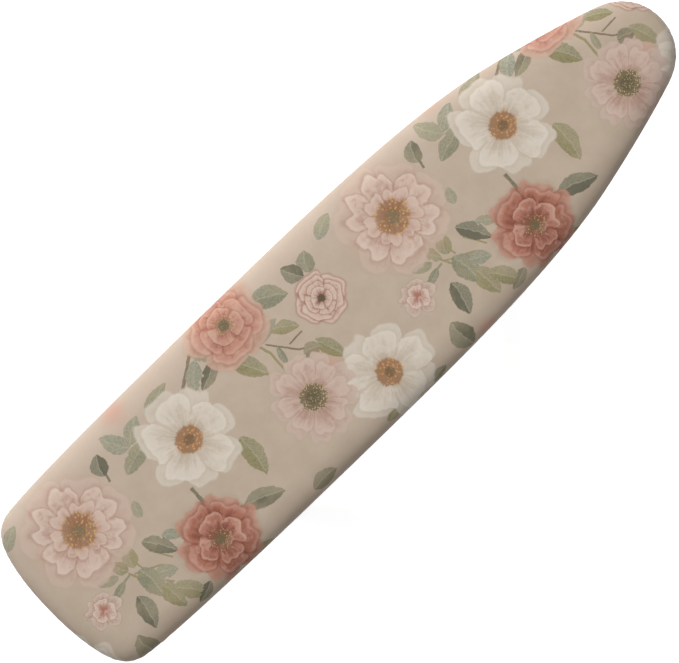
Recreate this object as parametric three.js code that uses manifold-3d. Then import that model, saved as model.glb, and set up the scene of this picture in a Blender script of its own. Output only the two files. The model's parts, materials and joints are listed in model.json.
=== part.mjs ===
// A full-size folding ironing board, standing at its highest setting.
//
// Millimetres, +Z up, nose of the board towards +X. The origin is on the floor under the middle of the board.
//
// The board is a steel rim tube with a mesh panel, a felt pad and a fitted fabric cover over it. Two pairs of
// tubular legs cross like scissors. The outer pair hangs from fixed brackets under the nose half. The inner pair
// hangs from a rod that slides along slots in two rails under the heel half. The scissor bolts are as far from the
// brackets as from the rod, so the rod always moves on the straight line through the bracket pins, and equal legs
// below the bolts keep the board level at every height. A toothed comb on a spring lever catches the rod's end.
import * as THREE from "three";
import { mergeVertices } from "three/addons/utils/BufferGeometryUtils.js";
import Module from "manifold-3d";

const wasm = await Module();
wasm.setup();

// ---------------------------------------------------------------------------------------------- driving sizes
const BOARD_LENGTH = 1372; // 54 inches over the cover
const BOARD_HEIGHT = 900; // floor to the ironing surface at the highest setting
const LOWEST_HEIGHT = 700;
const HEIGHT_SETTINGS = 6;
const GAP = 0.3; // left between pieces that touch

// Half of the outline, from the middle of the heel to the tip of the nose, as cubic curves. A row holds the
// number of straight steps along the curve, its two handles and its end, each as [distance from the heel,
// distance from the centre line].
const HALF_OUTLINE = [
  [1, [0, 25], [1, 46], [4, 68]],
  [5, [12, 124], [24, 152], [60, 159.5]],
  [3, [130, 169.5], [350, 171.2], [600, 171.2]],
  [4, [800, 171.2], [980, 166], [1100, 141]],
  [2, [1160, 128], [1250, 105], [1310, 84.3]],
  [5, [1348, 71], [1372, 40], [1372, 0]],
];

const COVER_THICK = 1.2;
const PAD_THICK = 8;
const PANEL_THICK = 0.6;
const RIM_RADIUS = 9;
const RIM_WALL = 1;
const RIM_INSET = 13; // from the cover's edge to the middle of the rim tube
const HEM_INSET = 34; // from the cover's edge to the inner edge of its hem, under the board
const ELASTIC_RADIUS = 2;

const TUBE_RADIUS = 11;
const TUBE_WALL = 1;
const LEG_SIDES = 16;
const CAP_RADIUS = 15;
const SOLE_DROP = 14; // from the middle of a foot bar down to the flat sole of its caps
const UPPER_LEG = 440; // upper pivot to scissor bolt, the same on both legs
const LOWER_LEG = 620; // scissor bolt to foot bar, the same on both legs
const PIVOT_DROP = 48; // ironing surface down to the line of the upper pivots
const PIVOT_X = 256; // the outer legs' brackets
const TUBE_END = 14; // how far a leg tube runs on past its upper pivot
const OUTER_SPREAD = 105; // centre line to the middle of an outer leg tube
const INNER_SPREAD = 46;
const OUTER_FOOT = 370; // overall width of a foot with its caps
const INNER_FOOT = 300;

const RAIL_SPREAD = 70; // centre line to the inner face of a rail's web
const SHEET = 1.5; // rails and braces
const BRACE_DEPTH = 10;
const BRACE_WIDTH = 22;
const RAIL_START = -643;
const RAIL_END = -244;
const ROD_RADIUS = 5;
const BUSH_RADIUS = 7.2;
const SLOT_RADIUS = 7.5;

const PIN_RADIUS = 4; // bracket pins, scissor bolts and lever shaft
const COMB_THICK = 2.5;
const COMB_DEPTH = 28; // lever shaft to the tips of the teeth
const NOTCH_WIDTH = 12;
const SHAFT_OUT = 78; // centre line to the lever shaft
const RELEASED_DEG = 13.5; // how far the lever is squeezed from latched to where the teeth just clear the rod

// ------------------------------------------------------------------------------------------------ worked out
const HALF_LENGTH = BOARD_LENGTH / 2;
const coverUnder = BOARD_HEIGHT - COVER_THICK;
const padTop = coverUnder - GAP;
const padBottom = padTop - PAD_THICK;
const panelTop = padBottom - GAP;
const panelBottom = panelTop - PANEL_THICK;
const rimZ = panelBottom - GAP - RIM_RADIUS;
const hemZ = rimZ - RIM_RADIUS - 0.5 - COVER_THICK; // the hem's underside
const braceTop = panelBottom - GAP;
const braceBottom = braceTop - BRACE_DEPTH;
const railTop = braceBottom - GAP;
const pivotZ = BOARD_HEIGHT - PIVOT_DROP;
const railBottom = pivotZ - SLOT_RADIUS - 10;
const shaftZ = pivotZ + 20;
const legLength = UPPER_LEG + LOWER_LEG;

// Angle between the legs and the floor when the ironing surface is at a height.
const legAngle = (height) => Math.asin((height - PIVOT_DROP - SOLE_DROP) / legLength);
// Where the slide rod is for a leg angle.
const rodX = (angle) => PIVOT_X - 2 * UPPER_LEG * Math.cos(angle);

const openAngle = legAngle(BOARD_HEIGHT);
const openRodX = rodX(openAngle);
const foldedRodX = rodX(0);

// ------------------------------------------------------------------------------------------------- materials
const material = (color, roughness, metalness = 0) =>
  new THREE.MeshStandardMaterial({ color, roughness, metalness });
const fabric = material(0xb9a590, 0.9);
const felt = material(0xd8d2c6, 0.95);
const elastic = material(0xe9e4da, 0.8);
const galvanised = material(0xa9adb0, 0.4, 0.9);
const paint = material(0xc9cac8, 0.45, 0.2);
const zinc = material(0xb4b8bb, 0.3, 1);
const plastic = material(0x4a4c4e, 0.6);
const nylon = material(0xe6e3da, 0.5);

// ------------------------------------------------------------------------------------------ shape functions
// The board's outline seen from above, anticlockwise, drawn in by `inset`.
function outline(inset = 0) {
  const half = [new THREE.Vector2(0, 0)];
  for (const [steps, ...points] of HALF_OUTLINE) {
    const handles = points.map(([x, y]) => new THREE.Vector2(x, y));
    half.push(...new THREE.CubicBezierCurve(half.at(-1), ...handles).getPoints(steps).slice(1));
  }
  const right = half.map((p) => new THREE.Vector2(p.x - HALF_LENGTH, -p.y));
  const left = half.slice(1, -1).reverse().map((p) => new THREE.Vector2(p.x - HALF_LENGTH, p.y));
  return drawnIn([...right, ...left], inset);
}

// A closed outline moved inwards by `inset` along its own normals.
function drawnIn(points, inset) {
  const count = points.length;
  return points.map((point, i) => {
    const along = points[(i + 1) % count].clone().sub(points[(i + count - 1) % count]).normalize();
    return new THREE.Vector2(point.x - inset * along.y, point.y + inset * along.x);
  });
}

// Half the board's width at a place along it, drawn in by `inset`.
function halfWidth(x, inset = 0) {
  const side = outline(inset).filter((p) => p.y > 0).sort((a, b) => a.x - b.x);
  const next = side.findIndex((p) => p.x > x);
  const [from, to] = [side[next - 1], side[next]];
  return from.y + ((to.y - from.y) * (x - from.x)) / (to.x - from.x);
}

// A closed body through rings of equal point counts, from its lowest ring up its outside: a list of
// {points, z}. With `loop` the last ring joins the first, and otherwise both end rings are capped.
function loft(rings, loop = false) {
  const count = rings[0].points.length;
  const positions = rings.flatMap(({ points, z }) => points.flatMap((p) => [p.x, p.y, z]));
  const index = [];
  const steps = loop ? rings.length : rings.length - 1;
  for (let i = 0; i < steps; i++) {
    const low = i * count;
    const high = ((i + 1) % rings.length) * count;
    for (let j = 0; j < count; j++) {
      const k = (j + 1) % count;
      index.push(low + j, low + k, high + k, low + j, high + k, high + j);
    }
  }
  if (!loop) {
    const top = (rings.length - 1) * count;
    for (const [a, b, c] of THREE.ShapeUtils.triangulateShape(rings[0].points, [])) index.push(a, c, b);
    for (const [a, b, c] of THREE.ShapeUtils.triangulateShape(rings.at(-1).points, []))
      index.push(top + a, top + b, top + c);
  }
  const geometry = new THREE.BufferGeometry();
  geometry.setAttribute("position", new THREE.Float32BufferAttribute(positions, 3));
  return geometry.setIndex(index);
}

// A ring of round section that follows the board's outline.
function outlineTube(inset, z, radius, sides) {
  const rings = [];
  for (let i = 0; i < sides; i++) {
    const turn = (i / sides) * 2 * Math.PI - Math.PI / 2;
    rings.push({ points: outline(inset - radius * Math.cos(turn)), z: z + radius * Math.sin(turn) });
  }
  return loft(rings, true);
}

// A body turned about the Y axis from [radius, y] points. The profile runs up the outside.
function turned(profile, sides = 12) {
  return new THREE.LatheGeometry(profile.map(([r, y]) => new THREE.Vector2(r, y)), sides);
}

// A solid round bar along Y, centred on the origin unless it is given both ends.
function bar(radius, length, sides = 12) {
  return turned([[0, -length / 2], [radius, -length / 2], [radius, length / 2], [0, length / 2]], sides);
}

// An open-ended tube along Y, from y = 0 to y = length.
function pipe(radius, wall, length, sides = 12) {
  const bore = radius - wall;
  return turned([[bore, 0], [radius, 0], [radius, length], [bore, length], [bore, 0]], sides);
}

function shapeOf(points) {
  return new THREE.Shape(points.map(([a, b]) => new THREE.Vector2(a, b)));
}

const plainExtrude = (shape, depth) =>
  new THREE.ExtrudeGeometry(shape, { depth, bevelEnabled: false, curveSegments: 8 });

// A profile drawn as [y, z], run along X from x0 to x1.
function alongX(points, x0, x1) {
  const basis = new THREE.Matrix4().makeBasis(
    new THREE.Vector3(0, 1, 0), new THREE.Vector3(0, 0, 1), new THREE.Vector3(1, 0, 0));
  return plainExtrude(shapeOf(points), x1 - x0).applyMatrix4(basis).translate(x0, 0, 0);
}

// A shape drawn as (x, z), run along Y from y0 to y1.
function alongY(shape, y0, y1) {
  return plainExtrude(shape, y1 - y0).rotateX(Math.PI / 2).translate(0, y1, 0);
}

// A slot with round ends, drawn as (x, z), between two centres at the same height.
function slotShape(x0, x1, z, radius) {
  const shape = new THREE.Shape();
  shape.absarc(x0, z, radius, Math.PI / 2, (3 * Math.PI) / 2, false);
  shape.absarc(x1, z, radius, -Math.PI / 2, Math.PI / 2, false);
  return shape;
}

// ------------------------------------------------------------------------------------------ cutting, joining
function toSolid(geometry) {
  const bare = (geometry.index ? geometry.toNonIndexed() : geometry).clone();
  for (const name of Object.keys(bare.attributes)) if (name !== "position") bare.deleteAttribute(name);
  const merged = mergeVertices(bare, 1e-3);
  return new wasm.Manifold(new wasm.Mesh({
    numProp: 3,
    vertProperties: merged.attributes.position.array,
    triVerts: new Uint32Array(merged.index.array),
  }));
}

function toGeometry(solid) {
  const mesh = solid.getMesh();
  const geometry = new THREE.BufferGeometry();
  geometry.setAttribute("position", new THREE.BufferAttribute(new Float32Array(mesh.vertProperties), 3));
  return geometry.setIndex(new THREE.BufferAttribute(new Uint32Array(mesh.triVerts), 1));
}

const cut = (body, ...tools) =>
  toGeometry(tools.reduce((solid, tool) => solid.subtract(toSolid(tool)), toSolid(body)));
const join = (body, ...more) =>
  toGeometry(more.reduce((solid, other) => solid.add(toSolid(other)), toSolid(body)));

// ------------------------------------------------------------------------------------------------- scene graph
const board = new THREE.Group();
const outerLegs = new THREE.Group();
const innerLegs = new THREE.Group();
const lever = new THREE.Group();

function add(group, name, geometry, finish) {
  const mesh = new THREE.Mesh(geometry, finish);
  mesh.name = name;
  group.add(mesh);
  return mesh;
}

const SIDES = [["left", 1], ["right", -1]];

// ---- The soft top: cover, hem elastic and pad
function coverShell() {
  // Under the hem, round the rim and over the padded edge to the flat top: [inset, height].
  const outside = [
    [HEM_INSET, hemZ], [10, hemZ], [3, hemZ + 2.4], [0, hemZ + 8], [0, hemZ + 15],
    [2.2, hemZ + 21], [8, hemZ + 26], [18, hemZ + 29.4], [HEM_INSET, BOARD_HEIGHT],
  ];
  const inside = [
    [HEM_INSET, hemZ + COVER_THICK], [10.5, hemZ + COVER_THICK], [4.1, hemZ + 3.2], [COVER_THICK, hemZ + 8.3],
    [COVER_THICK, hemZ + 14.8], [3.3, hemZ + 20.3], [8.8, hemZ + 25], [18.4, hemZ + 28.2], [HEM_INSET, coverUnder],
  ];
  return loft([...inside.reverse(), ...outside].map(([inset, z]) => ({ points: outline(inset), z })));
}

function feltPad() {
  const edge = [[7, padBottom], [7.4, padBottom + 1], [10.5, padBottom + 4], [19, padBottom + 6.8], [35, padTop]];
  return loft(edge.map(([inset, z]) => ({ points: outline(inset), z })));
}

add(board, "fabric_cover", coverShell(), fabric);
add(board, "felt_pad", feltPad(), felt);
const elasticZ = hemZ + COVER_THICK + GAP + ELASTIC_RADIUS;
add(board, "hem_elastic", outlineTube(HEM_INSET - 5, elasticZ, ELASTIC_RADIUS, 5), elastic);

// ---- The steel top: mesh panel on a rim tube whose butt joint is in the middle of the heel
const PANEL_INSET = 10;
add(board, "mesh_panel", loft([
  { points: outline(PANEL_INSET), z: panelBottom },
  { points: outline(PANEL_INSET), z: panelTop },
]), galvanised);

const buttJoint = new THREE.BoxGeometry(60, 1, 40).translate(-HALF_LENGTH, 0, rimZ);
add(board, "rim_tube", cut(
  outlineTube(RIM_INSET, rimZ, RIM_RADIUS, 8),
  outlineTube(RIM_INSET, rimZ, RIM_RADIUS - RIM_WALL, 8),
  buttJoint,
), paint);

// ---- Channel braces across the board, open side up, between the rim's inner walls
function brace(x) {
  const [low, high] = [x - BRACE_WIDTH / 2, x + BRACE_WIDTH / 2];
  const channel = shapeOf([
    [low, braceBottom], [high, braceBottom], [high, braceTop], [high - SHEET, braceTop],
    [high - SHEET, braceBottom + SHEET], [low + SHEET, braceBottom + SHEET], [low + SHEET, braceTop], [low, braceTop],
  ]);
  const rimInside = RIM_INSET + RIM_RADIUS + GAP;
  const reach = Math.min(halfWidth(low, rimInside), halfWidth(high, rimInside));
  return alongY(channel, -reach, reach);
}
const BRACES = {
  heel_brace: -615, rail_middle_brace: -450, rail_front_brace: -285, bracket_brace: PIVOT_X, nose_brace: 470,
};
for (const [name, x] of Object.entries(BRACES)) add(board, name, brace(x), galvanised);

// ---- Slotted rails for the slide rod
function guideRail(side) {
  const web = RAIL_SPREAD;
  const profile = [
    [web - 12, railTop], [web + SHEET, railTop], [web + SHEET, railBottom], [web - 7, railBottom],
    [web - 7, railBottom + SHEET], [web, railBottom + SHEET], [web, railTop - SHEET], [web - 12, railTop - SHEET],
  ].map(([y, z]) => [side * y, z]);
  const slot = alongY(slotShape(foldedRodX, openRodX, pivotZ, SLOT_RADIUS), -RAIL_SPREAD - 9, RAIL_SPREAD + 9);
  return cut(alongX(profile, RAIL_START, RAIL_END), slot);
}
for (const [hand, side] of SIDES) add(board, `guide_rail_${hand}`, guideRail(side), galvanised);

// ---- Forked brackets and pins that the outer legs hang from
const CHEEK = 2.5;
const CHEEK_GAP = 0.8; // between a bracket's cheek and the tube inside it
const cheekIn = TUBE_RADIUS + CHEEK_GAP;
function bracket(side) {
  const out = cheekIn + CHEEK;
  const low = pivotZ - 10;
  const fork = [
    [-out, low], [-cheekIn, low], [-cheekIn, railTop - CHEEK], [cheekIn, railTop - CHEEK], [cheekIn, low], [out, low],
    [out, railTop], [-out, railTop],
  ].map(([y, z]) => [side * OUTER_SPREAD + y, z]);
  const hole = bar(PIN_RADIUS + GAP, 40).translate(PIVOT_X, side * OUTER_SPREAD, pivotZ);
  return cut(alongX(fork, PIVOT_X - 15, PIVOT_X + 15), hole);
}
function bracketPin() {
  const reach = cheekIn + CHEEK + GAP;
  return turned([
    [0, -reach - 2], [5.5, -reach - 2], [6.5, -reach], [PIN_RADIUS, -reach], [PIN_RADIUS, reach], [6.5, reach],
    [5.5, reach + 2], [0, reach + 2],
  ]);
}
for (const [hand, side] of SIDES) {
  add(board, `pivot_bracket_${hand}`, bracket(side), galvanised);
  const pin = add(board, `leg_pivot_pin_${hand}`, bracketPin(), zinc);
  pin.position.set(PIVOT_X, side * OUTER_SPREAD, pivotZ);
}

// ---- A leg tube, hanging down local -Z from its upper pivot, with its foot end cupped round the foot bar
function legTube(y, pivotHole) {
  const tube = pipe(TUBE_RADIUS, TUBE_WALL, TUBE_END + legLength, LEG_SIDES)
    .rotateX(-Math.PI / 2).translate(0, 0, TUBE_END);
  const holes = [
    bar(pivotHole, 40),
    bar(PIN_RADIUS + GAP, 40).translate(0, 0, -UPPER_LEG),
    bar(TUBE_RADIUS + GAP, 60, LEG_SIDES).translate(0, 0, -legLength),
  ];
  return cut(tube, ...holes).translate(0, y, 0);
}

// A cross tube of a leg pair, cupped to meet the two leg tubes.
function stretcher(down, spread, radius) {
  const length = 2 * spread;
  const tube = pipe(radius, TUBE_WALL, length).translate(0, -spread, -down);
  const cups = SIDES.map(([, side]) =>
    bar(TUBE_RADIUS + GAP, 200, LEG_SIDES).rotateX(Math.PI / 2).translate(0, side * spread, -down));
  return cut(tube, ...cups);
}

// A ribbed plastic cap that plugs over the end of a foot bar, pointing +Y, with a flat sole.
const CAP_LENGTH = 36;
const CAP_GRIP = 30; // how much of the foot bar is inside the cap
function footCap() {
  const bore = TUBE_RADIUS + GAP;
  const cup = turned([
    [0, 0], [bore, 0], [bore, -CAP_GRIP], [CAP_RADIUS - 1, -CAP_GRIP], [CAP_RADIUS, -CAP_GRIP + 1],
    [CAP_RADIUS, 0], [CAP_RADIUS - 3, 5], [0, CAP_LENGTH - CAP_GRIP],
  ], LEG_SIDES);
  const sole = new THREE.BoxGeometry(60, 100, 20).translate(0, 0, -SOLE_DROP - 10);
  return cut(cup, sole);
}

// The round plastic plug in the top end of a leg tube.
function tubePlug() {
  const bore = TUBE_RADIUS - TUBE_WALL - GAP;
  return turned([[0, -6], [bore, -6], [bore, GAP], [TUBE_RADIUS, GAP], [TUBE_RADIUS - 2, 3], [0, 3.6]], LEG_SIDES);
}

const capBarEnd = (foot) => foot / 2 - (CAP_LENGTH - CAP_GRIP) - GAP;
const footBar = (foot) => pipe(TUBE_RADIUS, TUBE_WALL, 2 * capBarEnd(foot), LEG_SIDES).translate(0, -capBarEnd(foot), 0);

// Tubes, plugs, cross tubes and capped foot of one leg pair, in the pair's own turned frame.
function legPair(group, name, { spread, foot, pivotHole, turn, stretchers }) {
  for (const [hand, side] of SIDES) {
    add(group, `${name}_tube_${hand}`, legTube(side * spread, pivotHole), paint);
    const plug = add(group, `${name}_tube_plug_${hand}`, tubePlug(), plastic);
    plug.position.set(0, side * spread, TUBE_END);
    plug.rotation.x = Math.PI / 2;
    const cap = add(group, `${name}_foot_cap_${hand}`, footCap(), plastic);
    cap.position.set(0, side * (capBarEnd(foot) + GAP), -legLength);
    cap.rotation.set(0, -turn, side > 0 ? 0 : Math.PI, "YXZ");
  }
  for (const [label, down] of Object.entries(stretchers))
    add(group, label, stretcher(down, spread, 8), paint);
  add(group, `${name}_foot_bar`, footBar(foot), paint).position.z = -legLength;
  group.rotation.y = turn;
}

// ---- Outer legs, turned about the bracket pins, with the scissor bolts
const lean = Math.PI / 2 - openAngle;
legPair(outerLegs, "outer_leg", {
  spread: OUTER_SPREAD, foot: OUTER_FOOT, pivotHole: PIN_RADIUS + GAP, turn: lean,
  stretchers: { outer_leg_stretcher: legLength - 115 },
});
outerLegs.position.set(PIVOT_X, 0, pivotZ);

const boltHead = OUTER_SPREAD + TUBE_RADIUS + GAP;
const nutFace = INNER_SPREAD - TUBE_RADIUS - GAP;
function scissorBolt() {
  return turned([
    [0, nutFace - 9], [PIN_RADIUS, nutFace - 9], [PIN_RADIUS, boltHead], [9, boltHead], [8, boltHead + 3],
    [4, boltHead + 4.6], [0, boltHead + 5],
  ]);
}
function scissorNut() {
  return turned([
    [PIN_RADIUS + GAP, nutFace - 7.5], [7, nutFace - 7.5], [7.5, nutFace - 7], [7.5, nutFace - 1.5], [9.5, nutFace - 1.5],
    [9.5, nutFace], [PIN_RADIUS + GAP, nutFace], [PIN_RADIUS + GAP, nutFace - 7.5],
  ], 12);
}
function scissorSpacer() {
  const inside = INNER_SPREAD + TUBE_RADIUS + GAP;
  const length = OUTER_SPREAD - TUBE_RADIUS - GAP - inside;
  return pipe(8.5, 8.5 - PIN_RADIUS - GAP, length).translate(0, inside, 0);
}
for (const [hand, side] of SIDES) {
  const pieces = [
    add(outerLegs, `scissor_bolt_${hand}`, scissorBolt(), zinc),
    add(outerLegs, `scissor_nut_${hand}`, scissorNut(), zinc),
    add(outerLegs, `scissor_spacer_${hand}`, scissorSpacer(), nylon),
  ];
  for (const piece of pieces) {
    piece.position.z = -UPPER_LEG;
    piece.rotation.z = side > 0 ? 0 : Math.PI;
  }
}

// ---- Inner legs, turned about the slide rod
legPair(innerLegs, "inner_leg", {
  spread: INNER_SPREAD, foot: INNER_FOOT, pivotHole: ROD_RADIUS + GAP, turn: -lean,
  stretchers: { inner_leg_upper_stretcher: 130, inner_leg_lower_stretcher: legLength - 115 },
});
innerLegs.position.set(openRodX, 0, pivotZ);

const ROD_LATCH_END = SHAFT_OUT + COMB_THICK / 2 + 0.55; // the end that the comb catches, on the right
const ROD_PLAIN_END = RAIL_SPREAD + 7;
add(innerLegs, "slide_rod", turned([
  [0, -ROD_LATCH_END], [ROD_RADIUS, -ROD_LATCH_END], [ROD_RADIUS, ROD_PLAIN_END - 1], [ROD_RADIUS - 1, ROD_PLAIN_END],
  [0, ROD_PLAIN_END],
]), zinc);

// A flanged nylon bush that runs in the rail's slot, and the push-on clip outside it.
function slideBush() {
  const bore = ROD_RADIUS + GAP;
  const inner = RAIL_SPREAD - GAP;
  return turned([
    [bore, inner - 3], [10, inner - 3], [10, inner], [BUSH_RADIUS, inner], [BUSH_RADIUS, RAIL_SPREAD + 2.2],
    [bore, RAIL_SPREAD + 2.2], [bore, inner - 3],
  ], 24);
}
function rodClip() {
  const face = RAIL_SPREAD + 2.5;
  return turned([
    [ROD_RADIUS + 0.2, face], [9, face], [8.4, face + 1.4], [ROD_RADIUS + 0.2, face + 1.8], [ROD_RADIUS + 0.2, face],
  ]);
}
for (const [hand, side] of SIDES) {
  const turn = side > 0 ? 0 : Math.PI;
  add(innerLegs, `slide_bush_${hand}`, slideBush(), nylon).rotation.z = turn;
  add(innerLegs, `rod_clip_${hand}`, rodClip(), zinc).rotation.z = turn;
}

// ---- Release lever on a shaft along the right rail. It is drawn latched, then turned to where the teeth clear.
const SHAFT_START = RAIL_START + 1;
const SHAFT_END = RAIL_END - 5;
const COMB_START = foldedRodX - 11;
const COMB_END = openRodX + 13;
const LUG_THICK = 3;

add(lever, "lever_shaft", bar(PIN_RADIUS, SHAFT_END - SHAFT_START)
  .rotateZ(Math.PI / 2).translate((SHAFT_START + SHAFT_END) / 2, 0, 0), zinc);

// A toothed plate under the shaft, with a notch for the rod at each height setting and one for it folded flat.
function heightComb() {
  const settings = Array.from({ length: HEIGHT_SETTINGS }, (_, i) =>
    BOARD_HEIGHT - (i * (BOARD_HEIGHT - LOWEST_HEIGHT)) / (HEIGHT_SETTINGS - 1));
  const notches = [foldedRodX, ...settings.map((height) => rodX(legAngle(height))).reverse()];
  const crown = -(shaftZ - pivotZ) + NOTCH_WIDTH / 2; // the closed end of a notch
  const shape = new THREE.Shape();
  shape.moveTo(COMB_START, -PIN_RADIUS - GAP);
  shape.lineTo(COMB_START, -COMB_DEPTH);
  for (const x of notches) {
    shape.lineTo(x - NOTCH_WIDTH / 2 - 1, -COMB_DEPTH);
    shape.lineTo(x - NOTCH_WIDTH / 2, -COMB_DEPTH + 3);
    shape.lineTo(x - NOTCH_WIDTH / 2, crown - 3);
    shape.lineTo(x - NOTCH_WIDTH / 2 + 3, crown);
    shape.lineTo(x + NOTCH_WIDTH / 2 - 3, crown);
    shape.lineTo(x + NOTCH_WIDTH / 2, crown - 3);
    shape.lineTo(x + NOTCH_WIDTH / 2, -COMB_DEPTH + 3);
    shape.lineTo(x + NOTCH_WIDTH / 2 + 1, -COMB_DEPTH);
  }
  shape.lineTo(COMB_END, -COMB_DEPTH);
  shape.lineTo(COMB_END, -PIN_RADIUS - GAP);
  return alongY(shape, -COMB_THICK / 2, COMB_THICK / 2);
}
add(lever, "height_comb", heightComb(), galvanised);

// The arm clears the folded outer leg, then drops outside it to the grip under the board's edge.
const GRIP_X = -560;
const ARM_THICK = 4;
const ARM_REACH = 45;
const ARM_DROP = 34;
function leverArm() {
  const inner = ARM_REACH - ARM_THICK;
  const strip = [
    [PIN_RADIUS + GAP, 2], [ARM_REACH, 2], [ARM_REACH, ARM_THICK - ARM_DROP], [70, ARM_THICK - ARM_DROP], [70, -ARM_DROP],
    [inner, -ARM_DROP], [inner, -2], [PIN_RADIUS + GAP, -2],
  ].map(([y, z]) => [-y, z]);
  return alongX(strip, GRIP_X - 9, GRIP_X + 9);
}
add(lever, "lever_arm", leverArm(), galvanised);

function leverGrip() {
  const [length, width, thick] = [92, 26, 12];
  const ends = width / 2;
  const shape = slotShape(-length / 2 + ends, length / 2 - ends, 0, ends);
  const rim = shape.getPoints(6).slice(0, -1);
  const middle = { x: GRIP_X, y: -66 };
  const top = -ARM_DROP - GAP;
  const place = (inset, z) => ({
    points: drawnIn(rim, inset).map((p) => new THREE.Vector2(p.x + middle.x, p.y + middle.y)), z,
  });
  return loft([place(3, top - thick), place(0, top - thick + 3), place(0, top - 2), place(2, top)]);
}
add(lever, "lever_grip", leverGrip(), plastic);
lever.position.set(0, -SHAFT_OUT, shaftZ);
lever.rotation.x = THREE.MathUtils.degToRad(-RELEASED_DEG);

// ---- Lugs that carry the lever shaft, and the spring that closes the comb on the rod
function leverLug(x) {
  const inner = RAIL_SPREAD + SHEET + GAP;
  const plate = [
    [-inner, railTop], [-inner, shaftZ - 12], [-inner - 4, shaftZ - 12], [-SHAFT_OUT - 8, shaftZ - 6],
    [-SHAFT_OUT - 8, railTop],
  ];
  const hole = bar(PIN_RADIUS + GAP, 40).rotateZ(Math.PI / 2).translate(x, -SHAFT_OUT, shaftZ);
  return cut(alongX(plate, x - LUG_THICK / 2, x + LUG_THICK / 2), hole);
}
add(board, "lever_lug_rear", leverLug(RAIL_START + 3.5), galvanised);
add(board, "lever_lug_front", leverLug(RAIL_END - 8.5), galvanised);
const SPRING_LENGTH = 11;
const springStart = COMB_END + 1;
add(board, "lever_spring", pipe(PIN_RADIUS + GAP + 1.6, 1.6, SPRING_LENGTH)
  .rotateZ(-Math.PI / 2).translate(springStart, -SHAFT_OUT, shaftZ), zinc);

const ironingBoard = new THREE.Group();
ironingBoard.add(board, outerLegs, innerLegs, lever);
export default ironingBoard;
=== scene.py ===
# %% [markdown]
# # A folding ironing board
#
# This lesson builds a full-size folding ironing board: a tapered steel top with a felt pad and a flowered
# cotton cover, two pairs of crossed tube legs, a rod that slides in two slotted rails, and a squeeze lever
# whose toothed comb holds the height.
#
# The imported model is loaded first. It gives every piece its place and says which pieces move together, so
# nothing has to be fitted by eye: each new piece is made where its plain stand-in already is.

# %% Load the frame
import json
import math

import bpy
import numpy as np
from mathutils import Matrix, Vector


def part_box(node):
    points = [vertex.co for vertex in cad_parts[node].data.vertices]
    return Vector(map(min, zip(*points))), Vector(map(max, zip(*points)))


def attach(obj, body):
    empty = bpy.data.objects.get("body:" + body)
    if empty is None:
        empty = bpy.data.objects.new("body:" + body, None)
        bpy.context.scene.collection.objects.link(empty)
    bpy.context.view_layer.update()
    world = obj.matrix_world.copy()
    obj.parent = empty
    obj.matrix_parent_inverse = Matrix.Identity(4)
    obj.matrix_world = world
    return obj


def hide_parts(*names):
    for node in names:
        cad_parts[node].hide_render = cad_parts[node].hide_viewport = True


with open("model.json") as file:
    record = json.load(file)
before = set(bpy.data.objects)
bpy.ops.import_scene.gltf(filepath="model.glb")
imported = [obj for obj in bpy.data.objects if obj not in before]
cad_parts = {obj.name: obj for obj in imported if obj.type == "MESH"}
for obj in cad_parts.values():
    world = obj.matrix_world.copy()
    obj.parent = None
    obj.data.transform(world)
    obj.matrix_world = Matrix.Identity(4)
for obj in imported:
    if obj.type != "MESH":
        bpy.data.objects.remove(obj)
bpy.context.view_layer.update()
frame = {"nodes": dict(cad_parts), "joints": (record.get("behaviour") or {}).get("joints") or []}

MM = 0.001

# %% [markdown]
# ## Small tools
#
# An operator in Blender acts on whatever is selected, so each tool below starts by clearing the selection.
# `finish_shape` is the end of every rigid piece: a narrow bevel catches the light on sheet edges as a real
# edge does, and smooth shading is broken only where two faces meet at a real corner.

# %% Tools for selecting, applying and finishing
def deselect():
    for thing in bpy.context.selected_objects:
        thing.select_set(False)


def activate(piece):
    deselect()
    piece.select_set(True)
    bpy.context.view_layer.objects.active = piece


def begin(name):
    """Names the primitive just added and puts its place into its mesh."""
    piece = bpy.context.object
    piece.name = piece.data.name = name
    bpy.ops.object.transform_apply(location=True, rotation=True, scale=True)
    return piece


def apply_modifier(piece, kind, **settings):
    activate(piece)
    modifier = piece.modifiers.new(kind.title(), kind)
    for key, value in settings.items():
        setattr(modifier, key, value)
    bpy.ops.object.modifier_apply(modifier=modifier.name)


def points(piece):
    places = np.zeros(3 * len(piece.data.vertices), np.float32)
    piece.data.vertices.foreach_get("co", places)
    return places.reshape(-1, 3).astype(float)


def move_points(piece, places):
    piece.data.vertices.foreach_set("co", np.asarray(places, dtype=np.float32).ravel())
    piece.data.update()


def tidy_mesh(piece, gap=0.01 * MM):
    activate(piece)
    bpy.ops.object.mode_set(mode="EDIT")
    bpy.ops.mesh.select_all(action="SELECT")
    bpy.ops.mesh.remove_doubles(threshold=gap)
    bpy.ops.mesh.normals_make_consistent(inside=False)
    bpy.ops.object.mode_set(mode="OBJECT")


def shade(piece, angle=32):
    activate(piece)
    bpy.ops.object.shade_smooth_by_angle(angle=math.radians(angle))


def finish_shape(piece, edge=0.3, segments=2, angle=32):
    if edge:
        apply_modifier(piece, "BEVEL", width=edge * MM, segments=segments, limit_method="ANGLE",
                       angle_limit=math.radians(35), harden_normals=False)
    shade(piece, angle)
    return piece


def cut(piece, *tools, solver="EXACT"):
    """Takes the tools' shapes out of the piece, and stops if nothing is left of it.
    The exact solver empties the nuts and the grip, so they take the manifold one."""
    for tool in tools:
        apply_modifier(piece, "BOOLEAN", object=tool, operation="DIFFERENCE", solver=solver)
        bpy.data.objects.remove(tool)
    if not piece.data.polygons:
        raise ValueError(f"nothing is left of {piece.name}")


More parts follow.
